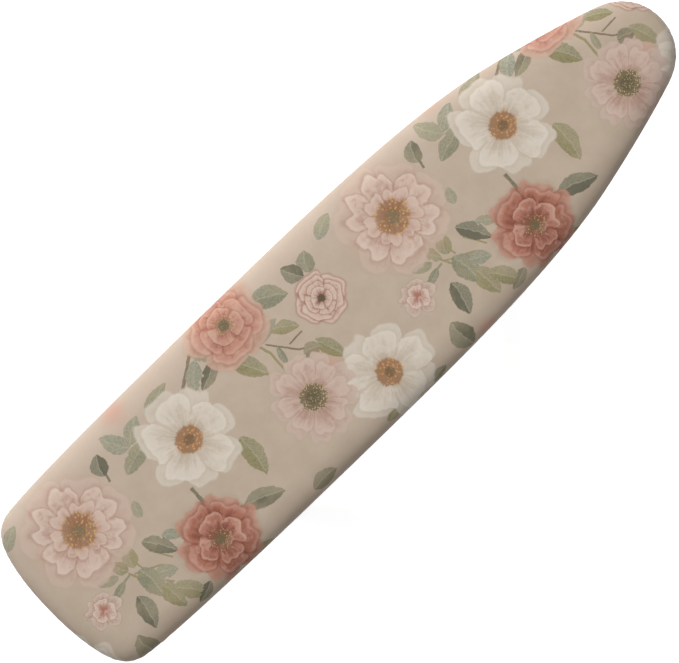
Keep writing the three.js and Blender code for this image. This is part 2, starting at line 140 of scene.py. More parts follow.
def join(name, *pieces):
    activate(pieces[0])
    for piece in pieces[1:]:
        piece.select_set(True)
    bpy.ops.object.join()
    joined = bpy.context.object
    joined.name = joined.data.name = name
    return joined


def copy_of(piece, name, place=Matrix.Identity(4)):
    """A copy with its own mesh, moved or mirrored. A mirrored mesh gets its faces turned back out."""
    twin = piece.copy()
    twin.data = piece.data.copy()
    twin.name = twin.data.name = name
    bpy.context.scene.collection.objects.link(twin)
    twin.data.transform(place)
    if place.determinant() < 0:
        twin.data.flip_normals()
    return twin


def put(piece, place):
    piece.data.transform(place)
    return piece


MIRROR_Y = Matrix.Scale(-1, 4, Vector((0, 1, 0)))
made = {}


def belongs(piece, body, slot, *nodes):
    """The piece rides on a body, takes its finish from a slot, and stands for plain nodes."""
    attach(piece, body)
    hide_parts(*(nodes or (piece.name.removesuffix("_shape"),)))
    made[piece.name] = (piece, slot)
    return piece
# %% [markdown]
# ## The outline of the board
#
# Everything on the top follows one outline: a nearly square heel with round corners, long sides that bow out
# a little, and a nose that tapers to a blunt round tip. A maker would draw it with a few French-curve arcs,
# and here it is the same: six cubic curves for one half, mirrored for the other. The curves are walked at
# equal steps, so that later each vertex knows its station round the board.

# %% Walk the outline at equal steps
BOARD_LENGTH = 1372
HALF_LENGTH = BOARD_LENGTH / 2
HALF_WIDTH = 171.2
# Each row: two handles and an end, as (distance from the heel, distance from the centre line), in mm.
HALF_OUTLINE = [
    [(0, 25), (1, 46), (4, 68)],
    [(12, 124), (24, 152), (60, 159.5)],
    [(130, 169.5), (350, HALF_WIDTH), (600, HALF_WIDTH)],
    [(800, HALF_WIDTH), (980, 166), (1100, 141)],
    [(1160, 128), (1250, 105), (1310, 84.3)],
    [(1348, 71), (1372, 40), (1372, 0)],
]
STATION_STEP = 4.0


def walk_outline():
    half, start = [np.zeros(2)], np.zeros(2)
    for row in HALF_OUTLINE:
        a, b, end = (np.array(p, float) for p in row)
        for t in np.linspace(0, 1, 200)[1:]:
            u = 1 - t
            half.append(u**3 * start + 3 * u * u * t * a + 3 * u * t * t * b + t**3 * end)
        start = end
    half = np.array(half)
    walked = np.r_[0, np.cumsum(np.linalg.norm(np.diff(half, axis=0), axis=1))]
    count = round(walked[-1] / STATION_STEP)
    even = np.linspace(0, walked[-1], count + 1)
    x, y = np.interp(even, walked, half[:, 0]), np.interp(even, walked, half[:, 1])
    # From the middle of the heel along the right side to the nose, and back along the left side.
    return np.r_[np.c_[x - HALF_LENGTH, -y], np.c_[x - HALF_LENGTH, y][-2:0:-1]]


def smoothed(values, width):
    """A running average round a closed loop."""
    steps = np.arange(-width, width + 1)
    weights = np.exp(-0.5 * (steps / (width / 2)) ** 2)
    return sum(w * np.roll(values, s, axis=0) for s, w in zip(steps, weights)) / weights.sum()


OUTLINE = walk_outline()
STATIONS = len(OUTLINE)
tangent = smoothed(np.roll(OUTLINE, -1, axis=0) - np.roll(OUTLINE, 1, axis=0), 5)
tangent /= np.linalg.norm(tangent, axis=1)[:, None]
OUTWARD = np.c_[tangent[:, 1], -tangent[:, 0]]
turning = np.linalg.norm(np.roll(OUTWARD, -3, axis=0) - np.roll(OUTWARD, 3, axis=0),
                         axis=1) / (6 * STATION_STEP)
BEND = smoothed(np.clip(turning * 60, 0, 1), 12)  # 0 along the straight sides, 1 at the round ends
print(f"{STATIONS} stations, {STATIONS * STATION_STEP / 1000:.2f} m round the board")


def ring(inset, z):
    """The outline drawn in by `inset` at height `z`, in metres. Both are in mm, one number or one per
    station."""
    flat = OUTLINE - OUTWARD * np.reshape(inset, (-1, 1))
    return np.c_[flat, np.broadcast_to(z, STATIONS)] * MM


# %% [markdown]
# ## Rows round the board
#
# The cover, pad, elastic and rim tube are all one section carried round the outline. By hand this is a
# circle of vertices pushed to the outline, extruded again and again, each new row moved to its place on
# the section. Two vertex attributes travel with every extrude: `station`, the place round the board, and
# `wrap`, how far over the edge the cloth has gone. They make it easy to lay the print later.

# %% Extrude rows round the outline
def start_round(name, row, filled):
    deselect()
    bpy.ops.mesh.primitive_circle_add(vertices=STATIONS, radius=0.1,
                                      fill_type="NGON" if filled else "NOTHING")
    piece = begin(name)
    move_points(piece, ring(*row[:2]))
    station = piece.data.attributes.new("station", "INT", "POINT")
    station.data.foreach_set("value", np.arange(STATIONS, dtype=np.int32))
    wrap = piece.data.attributes.new("wrap", "FLOAT", "POINT")
    wrap.data.foreach_set("value", np.full(STATIONS, row[2] if len(row) > 2 else 0, np.float32))
    piece.data.vertices.foreach_set("select", np.ones(STATIONS, bool))
    piece.data.edges.foreach_set("select", np.ones(STATIONS, bool))
    return piece


def values_of(piece, attribute, kind=np.float32):
    data = piece.data.attributes[attribute].data
    out = np.zeros(len(data), kind)
    data.foreach_get("value", out)
    return out


def add_row(piece, row):
    """Extrudes the selected loop of edges and moves it to the next row of the section."""
    activate(piece)
    bpy.ops.object.mode_set(mode="EDIT")
    bpy.ops.mesh.select_mode(type="EDGE")
    bpy.ops.mesh.extrude_edges_move()
    bpy.ops.object.mode_set(mode="OBJECT")
    mesh = piece.data
    picked = np.zeros(len(mesh.vertices), bool)
    mesh.vertices.foreach_get("select", picked)
    station = values_of(piece, "station", np.int32)
    places = points(piece)
    places[picked] = ring(*row[:2])[station[picked]]
    move_points(piece, places)
    if len(row) > 2:
        wrap = values_of(piece, "wrap")
        wrap[picked] = row[2]
        mesh.attributes["wrap"].data.foreach_set("value", wrap)


def close_end(piece, how):
    activate(piece)
    bpy.ops.object.mode_set(mode="EDIT")
    if how == "face":
        bpy.ops.mesh.edge_face_add()
    else:  # join the first loop to the last
        bpy.ops.mesh.select_all(action="DESELECT")
        bpy.ops.mesh.select_non_manifold()
        bpy.ops.mesh.bridge_edge_loops()
    bpy.ops.object.mode_set(mode="OBJECT")


def along_section(corners, step):
    """A section's corners eased into a smooth line and walked in equal steps."""
    corners = np.array(corners, float)
    padded = np.r_[2 * corners[:1] - corners[1:2], corners, 2 * corners[-1:] - corners[-2:-1]]
    line = []
    for i in range(1, len(padded) - 2):
        p0, p1, p2, p3 = padded[i - 1:i + 3]
        for t in np.linspace(0, 1, 24, endpoint=i == len(padded) - 3):
            line.append(0.5 * (2 * p1 + (p2 - p0) * t + (2 * p0 - 5 * p1 + 4 * p2 - p3) * t**2
                               + (3 * p1 - p0 - 3 * p2 + p3) * t**3))
    line = np.array(line)
    walked = np.r_[0, np.cumsum(np.linalg.norm(np.diff(line, axis=0), axis=1))]
    even = np.linspace(0, walked[-1], max(2, round(walked[-1] / step)) + 1)
    return np.c_[np.interp(even, walked, line[:, 0]), np.interp(even, walked, line[:, 1])], even


# %% [markdown]
# ## The cover
#
# The real cover is one piece of printed cotton, cut about 65 mm larger than the board all round. It is laid
# over the pad, pulled down over the rounded edge, turned under the rim, and its hem is a narrow tunnel with
# an elastic cord in it. It starts here as the flat top with its rim of cloth, and each row goes further
# over the edge and under, then curls back to make the tunnel.

# %% Cover: top, edge, hem and tunnel
top_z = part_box("fabric_cover")[1].z / MM
hem_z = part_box("fabric_cover")[0].z / MM
TOP_INSET, HEM_INSET = 48, 34
edge_section = [(TOP_INSET, top_z), (38, top_z - 0.5), (30, top_z - 1.5), (22, top_z - 3.2),
                (15, top_z - 5.5), (9, top_z - 8.6), (4.4, top_z - 12.4), (1, top_z - 17.2),
                (0, top_z - 22), (2, top_z - 27), (10, hem_z), (22, hem_z), (33, hem_z)]
edge_line, edge_walk = along_section(edge_section, 3.6)
tunnel_line, tunnel_walk = along_section(
    [(33, hem_z), (35.4, hem_z + 1.2), (36, hem_z + 3.6), (34.6, hem_z + 5.8), (31.5, hem_z + 6.7),
     (28, hem_z + 6.2), (25.6, hem_z + 4.2), (24.6, hem_z + 1.3)], 2.2)

cover = start_round("fabric_cover_shape", (*edge_line[0], 0), filled=True)
for (inset, z), walk in zip(edge_line[1:], edge_walk[1:]):
    add_row(cover, (inset, z, walk))
for (inset, z), walk in zip(tunnel_line[1:], tunnel_walk[1:]):
    add_row(cover, (inset, z, edge_walk[-1] + walk))

# %% [markdown]
# The flat top is still one huge face. It is cut into a net of small cells with the bisect tool, run across
# and along, because the top is not quite flat and because the print is laid cell by cell.

# %% Cover: cut the top into cells
CELL = 7.0
activate(cover)
bpy.ops.object.mode_set(mode="EDIT")
bpy.ops.mesh.select_mode(type="FACE")
bpy.ops.mesh.select_all(action="DESELECT")
bpy.ops.object.mode_set(mode="OBJECT")
max(cover.data.polygons, key=lambda face: len(face.vertices)).select = True
bpy.ops.object.mode_set(mode="EDIT")
bpy.ops.mesh.hide(unselected=True)
for axis, reach in ((0, HALF_LENGTH - TOP_INSET), (1, HALF_WIDTH - TOP_INSET)):
    for place in np.arange(-reach + CELL / 2, reach, CELL):
        bpy.ops.mesh.select_all(action="SELECT")
        bpy.ops.mesh.bisect(plane_co=[place * MM if i == axis else 0 for i in range(3)],
                            plane_no=[float(i == axis) for i in range(3)])
bpy.ops.mesh.reveal(select=False)
bpy.ops.object.mode_set(mode="OBJECT")
print(len(cover.data.polygons), "faces in the cover")

# %% [markdown]
# Pulled over a felt pad, the top is very slightly soft: it dips and swells by a fraction of a millimetre. The
# elastic makes the hem shorter than the line it was cut on, so the cloth gathers: hardly at all along the
# sides, and into deep uneven pleats round the nose and the heel's corners, where the most cloth is taken up.
# The pleats only ever push down, away from the steel.

# %% Cover: softness on top, gathers underneath
def waves(at, lengths, phases):
    """Uneven ripples: a few sines whose lengths share no measure."""
    ripples = [np.sin(2 * math.pi * at / length + phase) for length, phase in zip(lengths, phases)]
    return sum(ripples) / len(lengths)


def ease(value, low, high):
    t = np.clip((value - low) / (high - low), 0, 1)
    return t * t * (3 - 2 * t)


places = points(cover) / MM
wrap = values_of(cover, "wrap")
station = values_of(cover, "station", np.int32)
round_way = station * STATION_STEP
bend = BEND[station]
x, y, z = places.T
inner = wrap == 0
z[inner] += (0.35 * waves(x + 0.6 * y, (310, 173, 97), (0.4, 2.1, 4.0))
             * waves(y, (210, 118), (1.0, 0.3)))[inner]

pleat = waves(round_way, (13.1, 17.9, 29.0, 9.7), (0.3, 1.9, 4.2, 2.6))
pleat = ease(pleat, -0.4, 0.4)
hem_start = edge_walk[-1] - 33
gathered = ease(wrap, hem_start, edge_walk[-1]) * (1 - ease(wrap, edge_walk[-1] + 3, edge_walk[-1] + 11))
z -= gathered * pleat * (1.3 + 2.4 * bend)
side = ease(wrap, 26, 44) * (1 - ease(wrap, 70, 82))
tug = waves(round_way, (11.3, 23.0, 16.1), (1.1, 0.2, 3.3))
push = side * tug * (0.12 + 0.45 * bend)
x -= OUTWARD[station, 0] * push
y -= OUTWARD[station, 1] * push
move_points(cover, np.c_[x, y, z] * MM)
print(f"deepest gather {np.max(gathered * pleat * (1.3 + 2.4 * bend)):.1f} mm")
# %% [markdown]
# ## Laying out the print
#
# The cotton carries a loose painted pattern of garden flowers, leaves and stems that repeats every 711 mm.
# A pattern could be drawn by one long chain of shader nodes with a branch for every leaf. It is much lighter
# to lay it as a printer does, motif by motif. The cloth is unrolled flat (the `cloth` map, in metres), and
# then each small cell is told which motif is nearest and gets that motif's own coordinates: for a flower,
# from -1 to 1 across its width, and for a leaf or stem from -1 to 1 along and across it. The shader then
# needs to know how to paint only one leaf and one flower of each kind.
#
# All places are in mm from the middle of the board, nose towards +X.

# %% The motifs
REPEAT = (-711, -11)
# Flowers: (kind, x, y, radius, turn in degrees)
BLOOMS = [
    ("peony", 151, 70, 94, 12), ("anemone", 380, 52, 84, 8), ("anemone", -25, -105, 82, 70),
    ("coral", 306, -98, 74, 0), ("rose", -164, 133, 74, 20), ("ranunculus", -21, 56, 43, 0),
    ("bud", 92, -50, 31, 0),
]
OVER_BLOOMS = [("cosmos", 571, -38, 77, 5)]
# Leaves: (x, y, half length, half width, direction in degrees, tint)
# Tints: 0 sage, 1 dark, 2 olive, 3 teal, 4 brown
LEAVES = [
    (128, -22, 19, 8, 160, 0), (130, -45, 18, 7, 195, 0), (156, -18, 16, 11, 115, 2),
    (180, -18, 18, 13, 60, 2), (180, -72, 30, 19, -88, 0), (141, -100, 30, 16, -104, 1),
    (190, -107, 31, 17, -84, 2), (216, -124, 31, 15, -55, 2), (207, -74, 20, 12, -30, 3),
    (229, -37, 31, 14, -58, 1), (255, -38, 18, 9, -40, 3), (242, 30, 15, 9, 70, 3),
    (402, -98, 36, 16, -22, 1), (229, -143, 20, 10, 200, 1), (438, -38, 37, 17, -97, 2),
    (305, 92, 38, 15, 15, 0), (325, 126, 24, 13, 35, 3), (289, 130, 27, 16, 120, 3),
    (247, 122, 19, 15, 65, 1), (385, 135, 32, 13, 20, 0), (457, 120, 27, 14, 45, 3),
    (-80, 116, 32, 19, -30, 0), (-180, 56, 32, 16, -60, 2), (-122, 80, 27, 11, 10, 3),
    (-130, 35, 17, 6, 75, 0), (-88, 8, 16, 12, -20, 4), (-104, 3, 13, 6, 200, 1),
    (-65, -12, 30, 13, -70, 2), (-28, 118, 20, 15, 120, 1), (1, 116, 18, 16, 60, 0),
    (100, -143, 27, 20, 95, 1), (30, -164, 18, 9, 10, 1), (492, 133, 22, 12, 150, 0),
    (614, 76, 26, 12, -35, 2), (-238, 92, 26, 12, 205, 1), (493, -144, 25, 14, 0, 1),
    (340, -158, 26, 11, 170, 2), (60, 138, 24, 12, 25, 3), (-60, -158, 24, 10, 190, 2),
]
# Stems: (x1, y1, x2, y2, half width, tint)
STEMS = [
    (158, -30, 206, -128, 1.8, 2), (206, -60, 160, -38, 1.6, 2), (158, -38, 112, -46, 1.8, 0),
    (180, -20, 188, -84, 1.5, 2), (328, -10, 327, -34, 3.0, 1), (413, 106, 473, 148, 2.6, 4),
    (-150, 78, -141, 48, 2.2, 2), (-141, 50, -144, 4, 2.0, 2), (-148, 78, -104, 22, 1.6, 4),
    (-118, 38, -84, 40, 1.4, 4), (-104, 22, -88, 12, 1.5, 4), (243, 95, 247, 116, 2.0, 1),
    (229, -62, 212, -34, 1.5, 2), (-180, 40, -196, 70, 1.6, 2), (296, 110, 330, 118, 1.6, 0),
]
# Blurred touches of colour without an outline: (x, y, radius)
BLUSHES = [(140, -166, 26), (-390, 160, 34), (620, -20, 40)]
KINDS = ["peony", "anemone", "coral", "rose", "ranunculus", "bud", "cosmos"]


def repeated(rows, places):
    """Each motif and the ones a repeat before and after it, where they can reach the cloth."""
    out = []
    for row in rows:
        for turn in (-1, 0, 1):
            shifted = list(row)
            for i, axis in places:
                shifted[i] = row[i] + turn * REPEAT[axis]
            if -840 < shifted[places[0][0]] < 840:
                out.append(tuple(shifted))
    return out


def laid(rows, cloth, centres, corner_face):
    """Nearest motif for each cell, and every corner's place in that motif's own coordinates.
    Each row is (x, y, half length, half width, degrees)."""
    best = np.full(len(centres), np.inf)
    chosen = np.zeros(len(centres), int)
    for i, (px, py, length, width, turn) in enumerate(rows):
        c, s = math.cos(math.radians(turn)), math.sin(math.radians(turn))
        dx, dy = (centres - (px, py)).T
        reach = np.hypot((dx * c + dy * s) / length, (dy * c - dx * s) / width)
        nearer = reach < best
        best[nearer], chosen[nearer] = reach[nearer], i
    table = np.array(rows)[chosen[corner_face]]
    c, s = np.cos(np.radians(table[:, 4])), np.sin(np.radians(table[:, 4]))
    dx, dy = (cloth - table[:, :2]).T
    return np.c_[(dx * c + dy * s) / table[:, 2], (dy * c - dx * s) / table[:, 3]], chosen


def add_map(mesh, name, coordinates):
    layer = mesh.uv_layers.new(name=name)
    layer.data.foreach_set("uv", np.clip(coordinates, -40, 40).astype(np.float32).ravel())


def add_face_value(mesh, name, values):
    layer = mesh.attributes.new(name, "FLOAT", "FACE")
    layer.data.foreach_set("value", values.astype(np.float32))


# %% Unroll the cloth and lay the motifs
mesh = cover.data
flat_edge = ring(TOP_INSET, 0)[:, :2] / MM
unrolled = np.where(inner[:, None], places[:, :2], flat_edge[station] + OUTWARD[station] * wrap[:, None])
corner_vertex = np.zeros(len(mesh.loops), np.int32)
mesh.loops.foreach_get("vertex_index", corner_vertex)
corners_per_face = np.array([face.loop_total for face in mesh.polygons])
corner_face = np.repeat(np.arange(len(mesh.polygons)), corners_per_face)
cloth = unrolled[corner_vertex]
totals = np.c_[np.bincount(corner_face, cloth[:, 0]), np.bincount(corner_face, cloth[:, 1])]
centres = totals / corners_per_face[:, None]

add_map(mesh, "cloth", cloth * MM)
leaves = repeated(LEAVES, [(0, 0), (1, 1)])
local, chosen = laid([row[:5] for row in leaves], cloth, centres, corner_face)
add_map(mesh, "leaf", local)
add_face_value(mesh, "leaf_tint", np.array([row[5] for row in leaves])[chosen])
add_face_value(mesh, "leaf_seed", (chosen * 0.37) % 1)

stems = repeated(STEMS, [(0, 0), (2, 0), (1, 1), (3, 1)])
spans = [((a + c) / 2, (b + d) / 2, math.hypot(c - a, d - b) / 2, w, math.degrees(math.atan2(d - b, c - a)))
         for a, b, c, d, w, _ in stems]
local, chosen = laid([(a, b, length + 4, 10, turn) for a, b, length, w, turn in spans], cloth, centres,
                     corner_face)
widths = np.array([span[3] for span in spans])[chosen[corner_face]]
add_map(mesh, "stem", np.c_[local[:, 0], local[:, 1] * 10 / widths])
add_face_value(mesh, "stem_tint", np.array([row[5] for row in stems])[chosen])

for name, rows in (("bloom", BLOOMS), ("over_bloom", OVER_BLOOMS)):
    blooms = repeated(rows, [(1, 0), (2, 1)])
    local, chosen = laid([(bx, by, radius, radius, turn) for _, bx, by, radius, turn in blooms],
                         cloth, centres, corner_face)
    add_map(mesh, name, local)
    add_face_value(mesh, name + "_kind", np.array([KINDS.index(row[0]) for row in blooms])[chosen])
blushes = repeated(BLUSHES, [(0, 0), (1, 1)])
local, _ = laid([(bx, by, radius, radius, 0) for bx, by, radius in blushes], cloth, centres, corner_face)
add_map(mesh, "blush", local)

# %% Cover: give the cloth its thickness
apply_modifier(cover, "SOLIDIFY", thickness=0.8 * MM, offset=-1)
shade(cover, 60)
print(sum(len(face.vertices) - 2 for face in cover.data.polygons), "triangles in the cover")
# %% [markdown]
# ## A small language for finishes
#
# Shader nodes are a picture of a sum. Wiring them by hand hides the sum, so a small class wraps one socket
# and lets Python's own signs add the Math nodes. Every other node comes from one method, `node`, which sets
# the node's own settings first and then its inputs.

# %% Shader arithmetic
class Value:
    """One number that changes over the surface."""

    def __init__(self, finish, socket):
        self.finish, self.socket = finish, socket

    def sum(self, operation, *others, clamp=False):
        return self.finish.number("ShaderNodeMath", {"operation": operation, "use_clamp": clamp},
                                  {i: other for i, other in enumerate((self, *others))})

    def __add__(self, other): return self.sum("ADD", other)
    def __radd__(self, other): return self.sum("ADD", other)
    def __sub__(self, other): return self.sum("SUBTRACT", other)
    def __mul__(self, other): return self.sum("MULTIPLY", other)
    def __rmul__(self, other): return self.sum("MULTIPLY", other)
    def __truediv__(self, other): return self.sum("DIVIDE", other)
    def __pow__(self, other): return self.sum("POWER", other)
    def __abs__(self): return self.sum("ABSOLUTE")

    def __rsub__(self, other):
        return self.finish.number("ShaderNodeMath", {"operation": "SUBTRACT"}, {0: other, 1: self})

    def rise(self, low, high):
        """0 below low, 1 above high, and smooth between. With low above high it falls instead."""
        if low > high:
            return 1 - self.rise(high, low)
        return self.finish.number("ShaderNodeMapRange", {"interpolation_type": "SMOOTHSTEP"},
                                  {"Value": self, "From Min": low, "From Max": high})


class Mixer:
    """A tree of nodes being built."""

    def node(self, kind, settings=None, inputs=None, out=0):
        added = self.tree.nodes.new(kind)
        for key, value in (settings or {}).items():
            setattr(added, key, value)
        for key, value in (inputs or {}).items():
            self.connect(value, added.inputs[key])
        return added.outputs[out]

    def number(self, kind, settings=None, inputs=None, out=0):
        return Value(self, self.node(kind, settings, inputs, out))

    def connect(self, value, socket):
        value = value.socket if isinstance(value, Value) else value
        if isinstance(value, bpy.types.NodeSocket):
            self.tree.links.new(value, socket)
        else:
            socket.default_value = value

    # ---- colours and vectors
    def mix(self, factor, a, b, blend="MIX"):
        return self.node("ShaderNodeMix", {"data_type": "RGBA", "blend_type": blend},
                         {0: factor, 6: a, 7: b}, out=2)

    def vector(self, operation, a, b=None, c=None):
        inputs = {i: v for i, v in enumerate((a, b, c)) if v is not None}
        return self.node("ShaderNodeVectorMath", {"operation": operation}, inputs)

    def parts(self, vector):
        split = self.tree.nodes.new("ShaderNodeSeparateXYZ")
        self.connect(vector, split.inputs[0])
        return [Value(self, split.outputs[i]) for i in range(3)]

    def joined(self, x, y=0.0, z=0.0):
        return self.node("ShaderNodeCombineXYZ", {}, {0: x, 1: y, 2: z})

    # ---- places
    def place(self):
        return self.node("ShaderNodeTexCoord", out="Object")

    def map(self, name):
        return self.node("ShaderNodeUVMap", {"uv_map": name})

    def face_value(self, name):
        return self.number("ShaderNodeAttribute", {"attribute_name": name}, out="Fac")

    def stretched(self, vector, factors):
        return self.vector("MULTIPLY", vector, factors)

    # ---- patterns
    def noise(self, at, scale, detail=2.0, rough=0.5, out=0):
        made = self.node("ShaderNodeTexNoise", {"noise_dimensions": "3D"},
                         {"Vector": at, "Scale": scale, "Detail": detail, "Roughness": rough}, out=out)
        return made if out == 1 else Value(self, made)

    def cells(self, at, scale, feature="F1", out="Distance", spread=1.0):
        made = self.node("ShaderNodeTexVoronoi", {"feature": feature},
                         {"Vector": at, "Scale": scale, "Randomness": spread}, out=out)
        return made if out == "Color" else Value(self, made)


class Finish(Mixer):
    """A material. What is the same all over is set on the shader itself."""

    def __init__(self, name, **fixed):
        self.material = bpy.data.materials.new(name)
        self.material.use_nodes = True
        self.tree = self.material.node_tree
        self.shader = self.tree.nodes["Principled BSDF"]
        for key, value in fixed.items():
            self.shader.inputs[key.replace("_", " ")].default_value = value

    def feed(self, **inputs):
        for key, value in inputs.items():
            self.connect(value, self.shader.inputs[key.replace("_", " ")])

    def bump(self, height, depth_mm, strength=1.0):
        """`height` runs from 0 to 1 and stands for depth_mm."""
        self.feed(Normal=self.node("ShaderNodeBump", {}, {
            "Height": height, "Distance": depth_mm * MM, "Strength": strength}))


class Recipe(Mixer):
    """A group of nodes with named inputs, mixed once and used many times."""

    def __init__(self, name, **inputs):
        self.tree = bpy.data.node_groups.new(name, "ShaderNodeTree")
        for key, kind in inputs.items():
            self.tree.interface.new_socket(name=key, in_out="INPUT", socket_type="NodeSocket" + kind)
        entry = self.tree.nodes.new("NodeGroupInput")
        self.inputs = [Value(self, socket) if kind == "Float" else socket
                       for socket, kind in zip(entry.outputs, inputs.values())]

    def gives(self, colour):
        self.tree.interface.new_socket(name="Paint", in_out="OUTPUT", socket_type="NodeSocketColor")
        self.connect(colour, self.tree.nodes.new("NodeGroupOutput").inputs[0])

    def used_in(self, mixer, **inputs):
        return mixer.node("ShaderNodeGroup", {"node_tree": self.tree}, inputs)


def srgb(red, green, blue):
    """A colour as seen on a screen, 0 to 255, as the shader wants it."""
    return (*(((c / 255 + 0.055) / 1.055) ** 2.4 if c > 10 else c / 3294.6 for c in (red, green, blue)), 1.0)
# %% [markdown]
# ## Painting the cotton
#
# The print is in the manner of gouache: each petal is laid in one tone and drawn over with dry strokes that
# run out from the flower's middle, with a light line at the rim and a dark one where petals meet. So one
# function paints a ring of petals, and a flower is a few rings, from the widest to the smallest, with a
# stippled middle on top. All outlines are shaken a little by noise so that nothing looks ruled.

# %% The cloth's ground and the painter's hand
cotton = Finish("cover_cloth", Roughness=0.86, Sheen_Weight=0.12, Sheen_Roughness=0.5,
                Specular_IOR_Level=0.25)
on_cloth = cotton.map("cloth")
shake = cotton.vector("SUBTRACT", cotton.noise(on_cloth, 95, 3.0, 0.6, out=1), (0.5, 0.5, 0.5))
brush = cotton.noise(on_cloth, 260, 3.0, 0.65)
wash = cotton.noise(on_cloth, 22, 4.0, 0.6)
across_to_lit_side = cotton.parts(on_cloth)[1]

paint = cotton.mix(wash.rise(0.3, 0.72), srgb(188, 170, 150), srgb(195, 177, 158))
# Painted light: the cloth is made lighter towards its +Y side, the side the window lamp lights.
paint = cotton.mix(across_to_lit_side.rise(0.02, 0.2) * 0.55, paint, srgb(204, 184, 170))


def over(paint, mask, colour):
    return cotton.mix(mask, paint, colour)


# Soft touches of colour in the ground.
blush_reach = cotton.number("ShaderNodeVectorMath", {"operation": "LENGTH"}, {0: cotton.map("blush")},
                            out="Value")
paint = over(paint, blush_reach.rise(1.0, 0.1) * 0.5, srgb(205, 150, 132))

# %% Leaves and stems
LEAF_TINTS = [srgb(142, 142, 118), srgb(104, 102, 84), srgb(150, 142, 100), srgb(158, 160, 142),
              srgb(120, 104, 84)]


def tint_of(value):
    """The colour of tint number 0, 1, 2, 3 or 4."""
    ramp = cotton.tree.nodes.new("ShaderNodeValToRGB")
    ramp.color_ramp.interpolation = "CONSTANT"
    for i, colour in enumerate(LEAF_TINTS):
        stop = ramp.color_ramp.elements[i] if i < 2 else ramp.color_ramp.elements.new(i / 5)
        stop.position, stop.color = i / 5, colour
    cotton.connect(value / 5 + 0.02, ramp.inputs[0])
    return ramp.outputs[0]


stem = cotton.vector("MULTIPLY_ADD", shake, (0.06, 1.6, 0.0), cotton.map("stem"))
along, across, _ = cotton.parts(stem)
stem_mask = abs(across).rise(1.25, 0.75) * abs(along).rise(1.03, 0.96)
stem_colour = cotton.mix(brush.rise(0.35, 0.65) * 0.5, tint_of(cotton.face_value("stem_tint")),
                         srgb(150, 138, 108))
paint = over(paint, stem_mask * 0.9, stem_colour)

leaf = cotton.vector("MULTIPLY_ADD", shake, (0.22, 0.5, 0.0), cotton.map("leaf"))
along, across, _ = cotton.parts(leaf)
across = across + (along * along) * 0.16 - 0.05
width = ((1 - along * along).sum("MAXIMUM", 0.0) ** 0.75) * (1.02 - along * 0.2)
side = abs(across)
leaf_mask = (width - side).rise(0.0, 0.09)
veins = ((along * 7.0 - side * 3.4).sum("FRACT") - 0.5)
vein_line = abs(veins).rise(0.16, 0.04) * (width - side).rise(0.06, 0.3) * side.rise(0.03, 0.12)
midrib = side.rise(0.075, 0.03) * along.rise(0.93, 0.8)
seed = cotton.face_value("leaf_seed")
leaf_colour = tint_of(cotton.face_value("leaf_tint"))
leaf_colour = cotton.mix(across.rise(-0.06, 0.06) * 0.45, leaf_colour, srgb(172, 166, 144))
leaf_colour = cotton.mix(brush.rise(0.42, 0.62) * 0.35, leaf_colour, srgb(92, 90, 74))
leaf_colour = cotton.mix((wash + seed * 0.3).rise(0.5, 0.8) * 0.45, leaf_colour, srgb(178, 164, 132))
leaf_colour = cotton.mix(vein_line * 0.3, leaf_colour, srgb(104, 102, 84))
leaf_colour = cotton.mix(midrib * 0.4, leaf_colour, srgb(188, 182, 158))
leaf_colour = cotton.mix((width - side).rise(0.16, 0.02) * 0.35, leaf_colour, srgb(112, 108, 88))
paint = over(paint, leaf_mask * 0.94, leaf_colour)


# %% [markdown]
# A ring of petals lives in the flower's own circle. The angle round the middle, times half the number of
# petals, goes through a cosine: its size is 1 down the middle of each petal and 0 where two meet. That one
# number cuts the notches, darkens the joints, and lets the rim be scalloped.

# %% Flowers: one painter for a ring of petals
petal_recipe = Recipe("ring_of_petals", Paint="Color", Kind="Float", Radius="Float", Turn="Float",
                      Strokes="Float", Lobes="Float", Dabs="Float", Count="Float", Phase="Float",
                      Size="Float", Notch="Float", Tip="Float", Wild="Float", Shadow="Float",
                      Light="Color", Dark="Color", Rim="Color")
(under, kind, radius, turn, strokes, lobes, dabs, count, phase, size, notch, tip, wild, shadow,
 light, dark, rim) = petal_recipe.inputs
half = count * 0.5
petal = abs(((turn + phase) * half + (lobes - 0.5) * 1.4).sum("COSINE"))
edge = size * (1 - notch * (1 - petal) ** 2.4 + (lobes - 0.5) * wild - (petal ** 14.0) * tip)
out = radius / edge
tone = (out * 0.85 + strokes * 0.9 - 0.6).rise(0.0, 0.62)
colour = petal_recipe.mix(tone, dark, light)
colour = petal_recipe.mix(petal.rise(0.24, 0.03) * out.rise(0.2, 0.5) * 0.6, colour, dark)
colour = petal_recipe.mix(dabs.rise(0.5, 0.62) * 0.45, colour, rim)
colour = petal_recipe.mix(dabs.rise(0.45, 0.36) * 0.35, colour, dark)
colour = petal_recipe.mix(out.rise(0.84, 0.97) * petal.rise(0.05, 0.4) * 0.5, colour, rim)
shaded = petal_recipe.mix(out.rise(1.13, 0.98) * kind * shadow, under, dark)
petal_recipe.gives(petal_recipe.mix(out.rise(1.02, 0.965) * kind, shaded, colour))

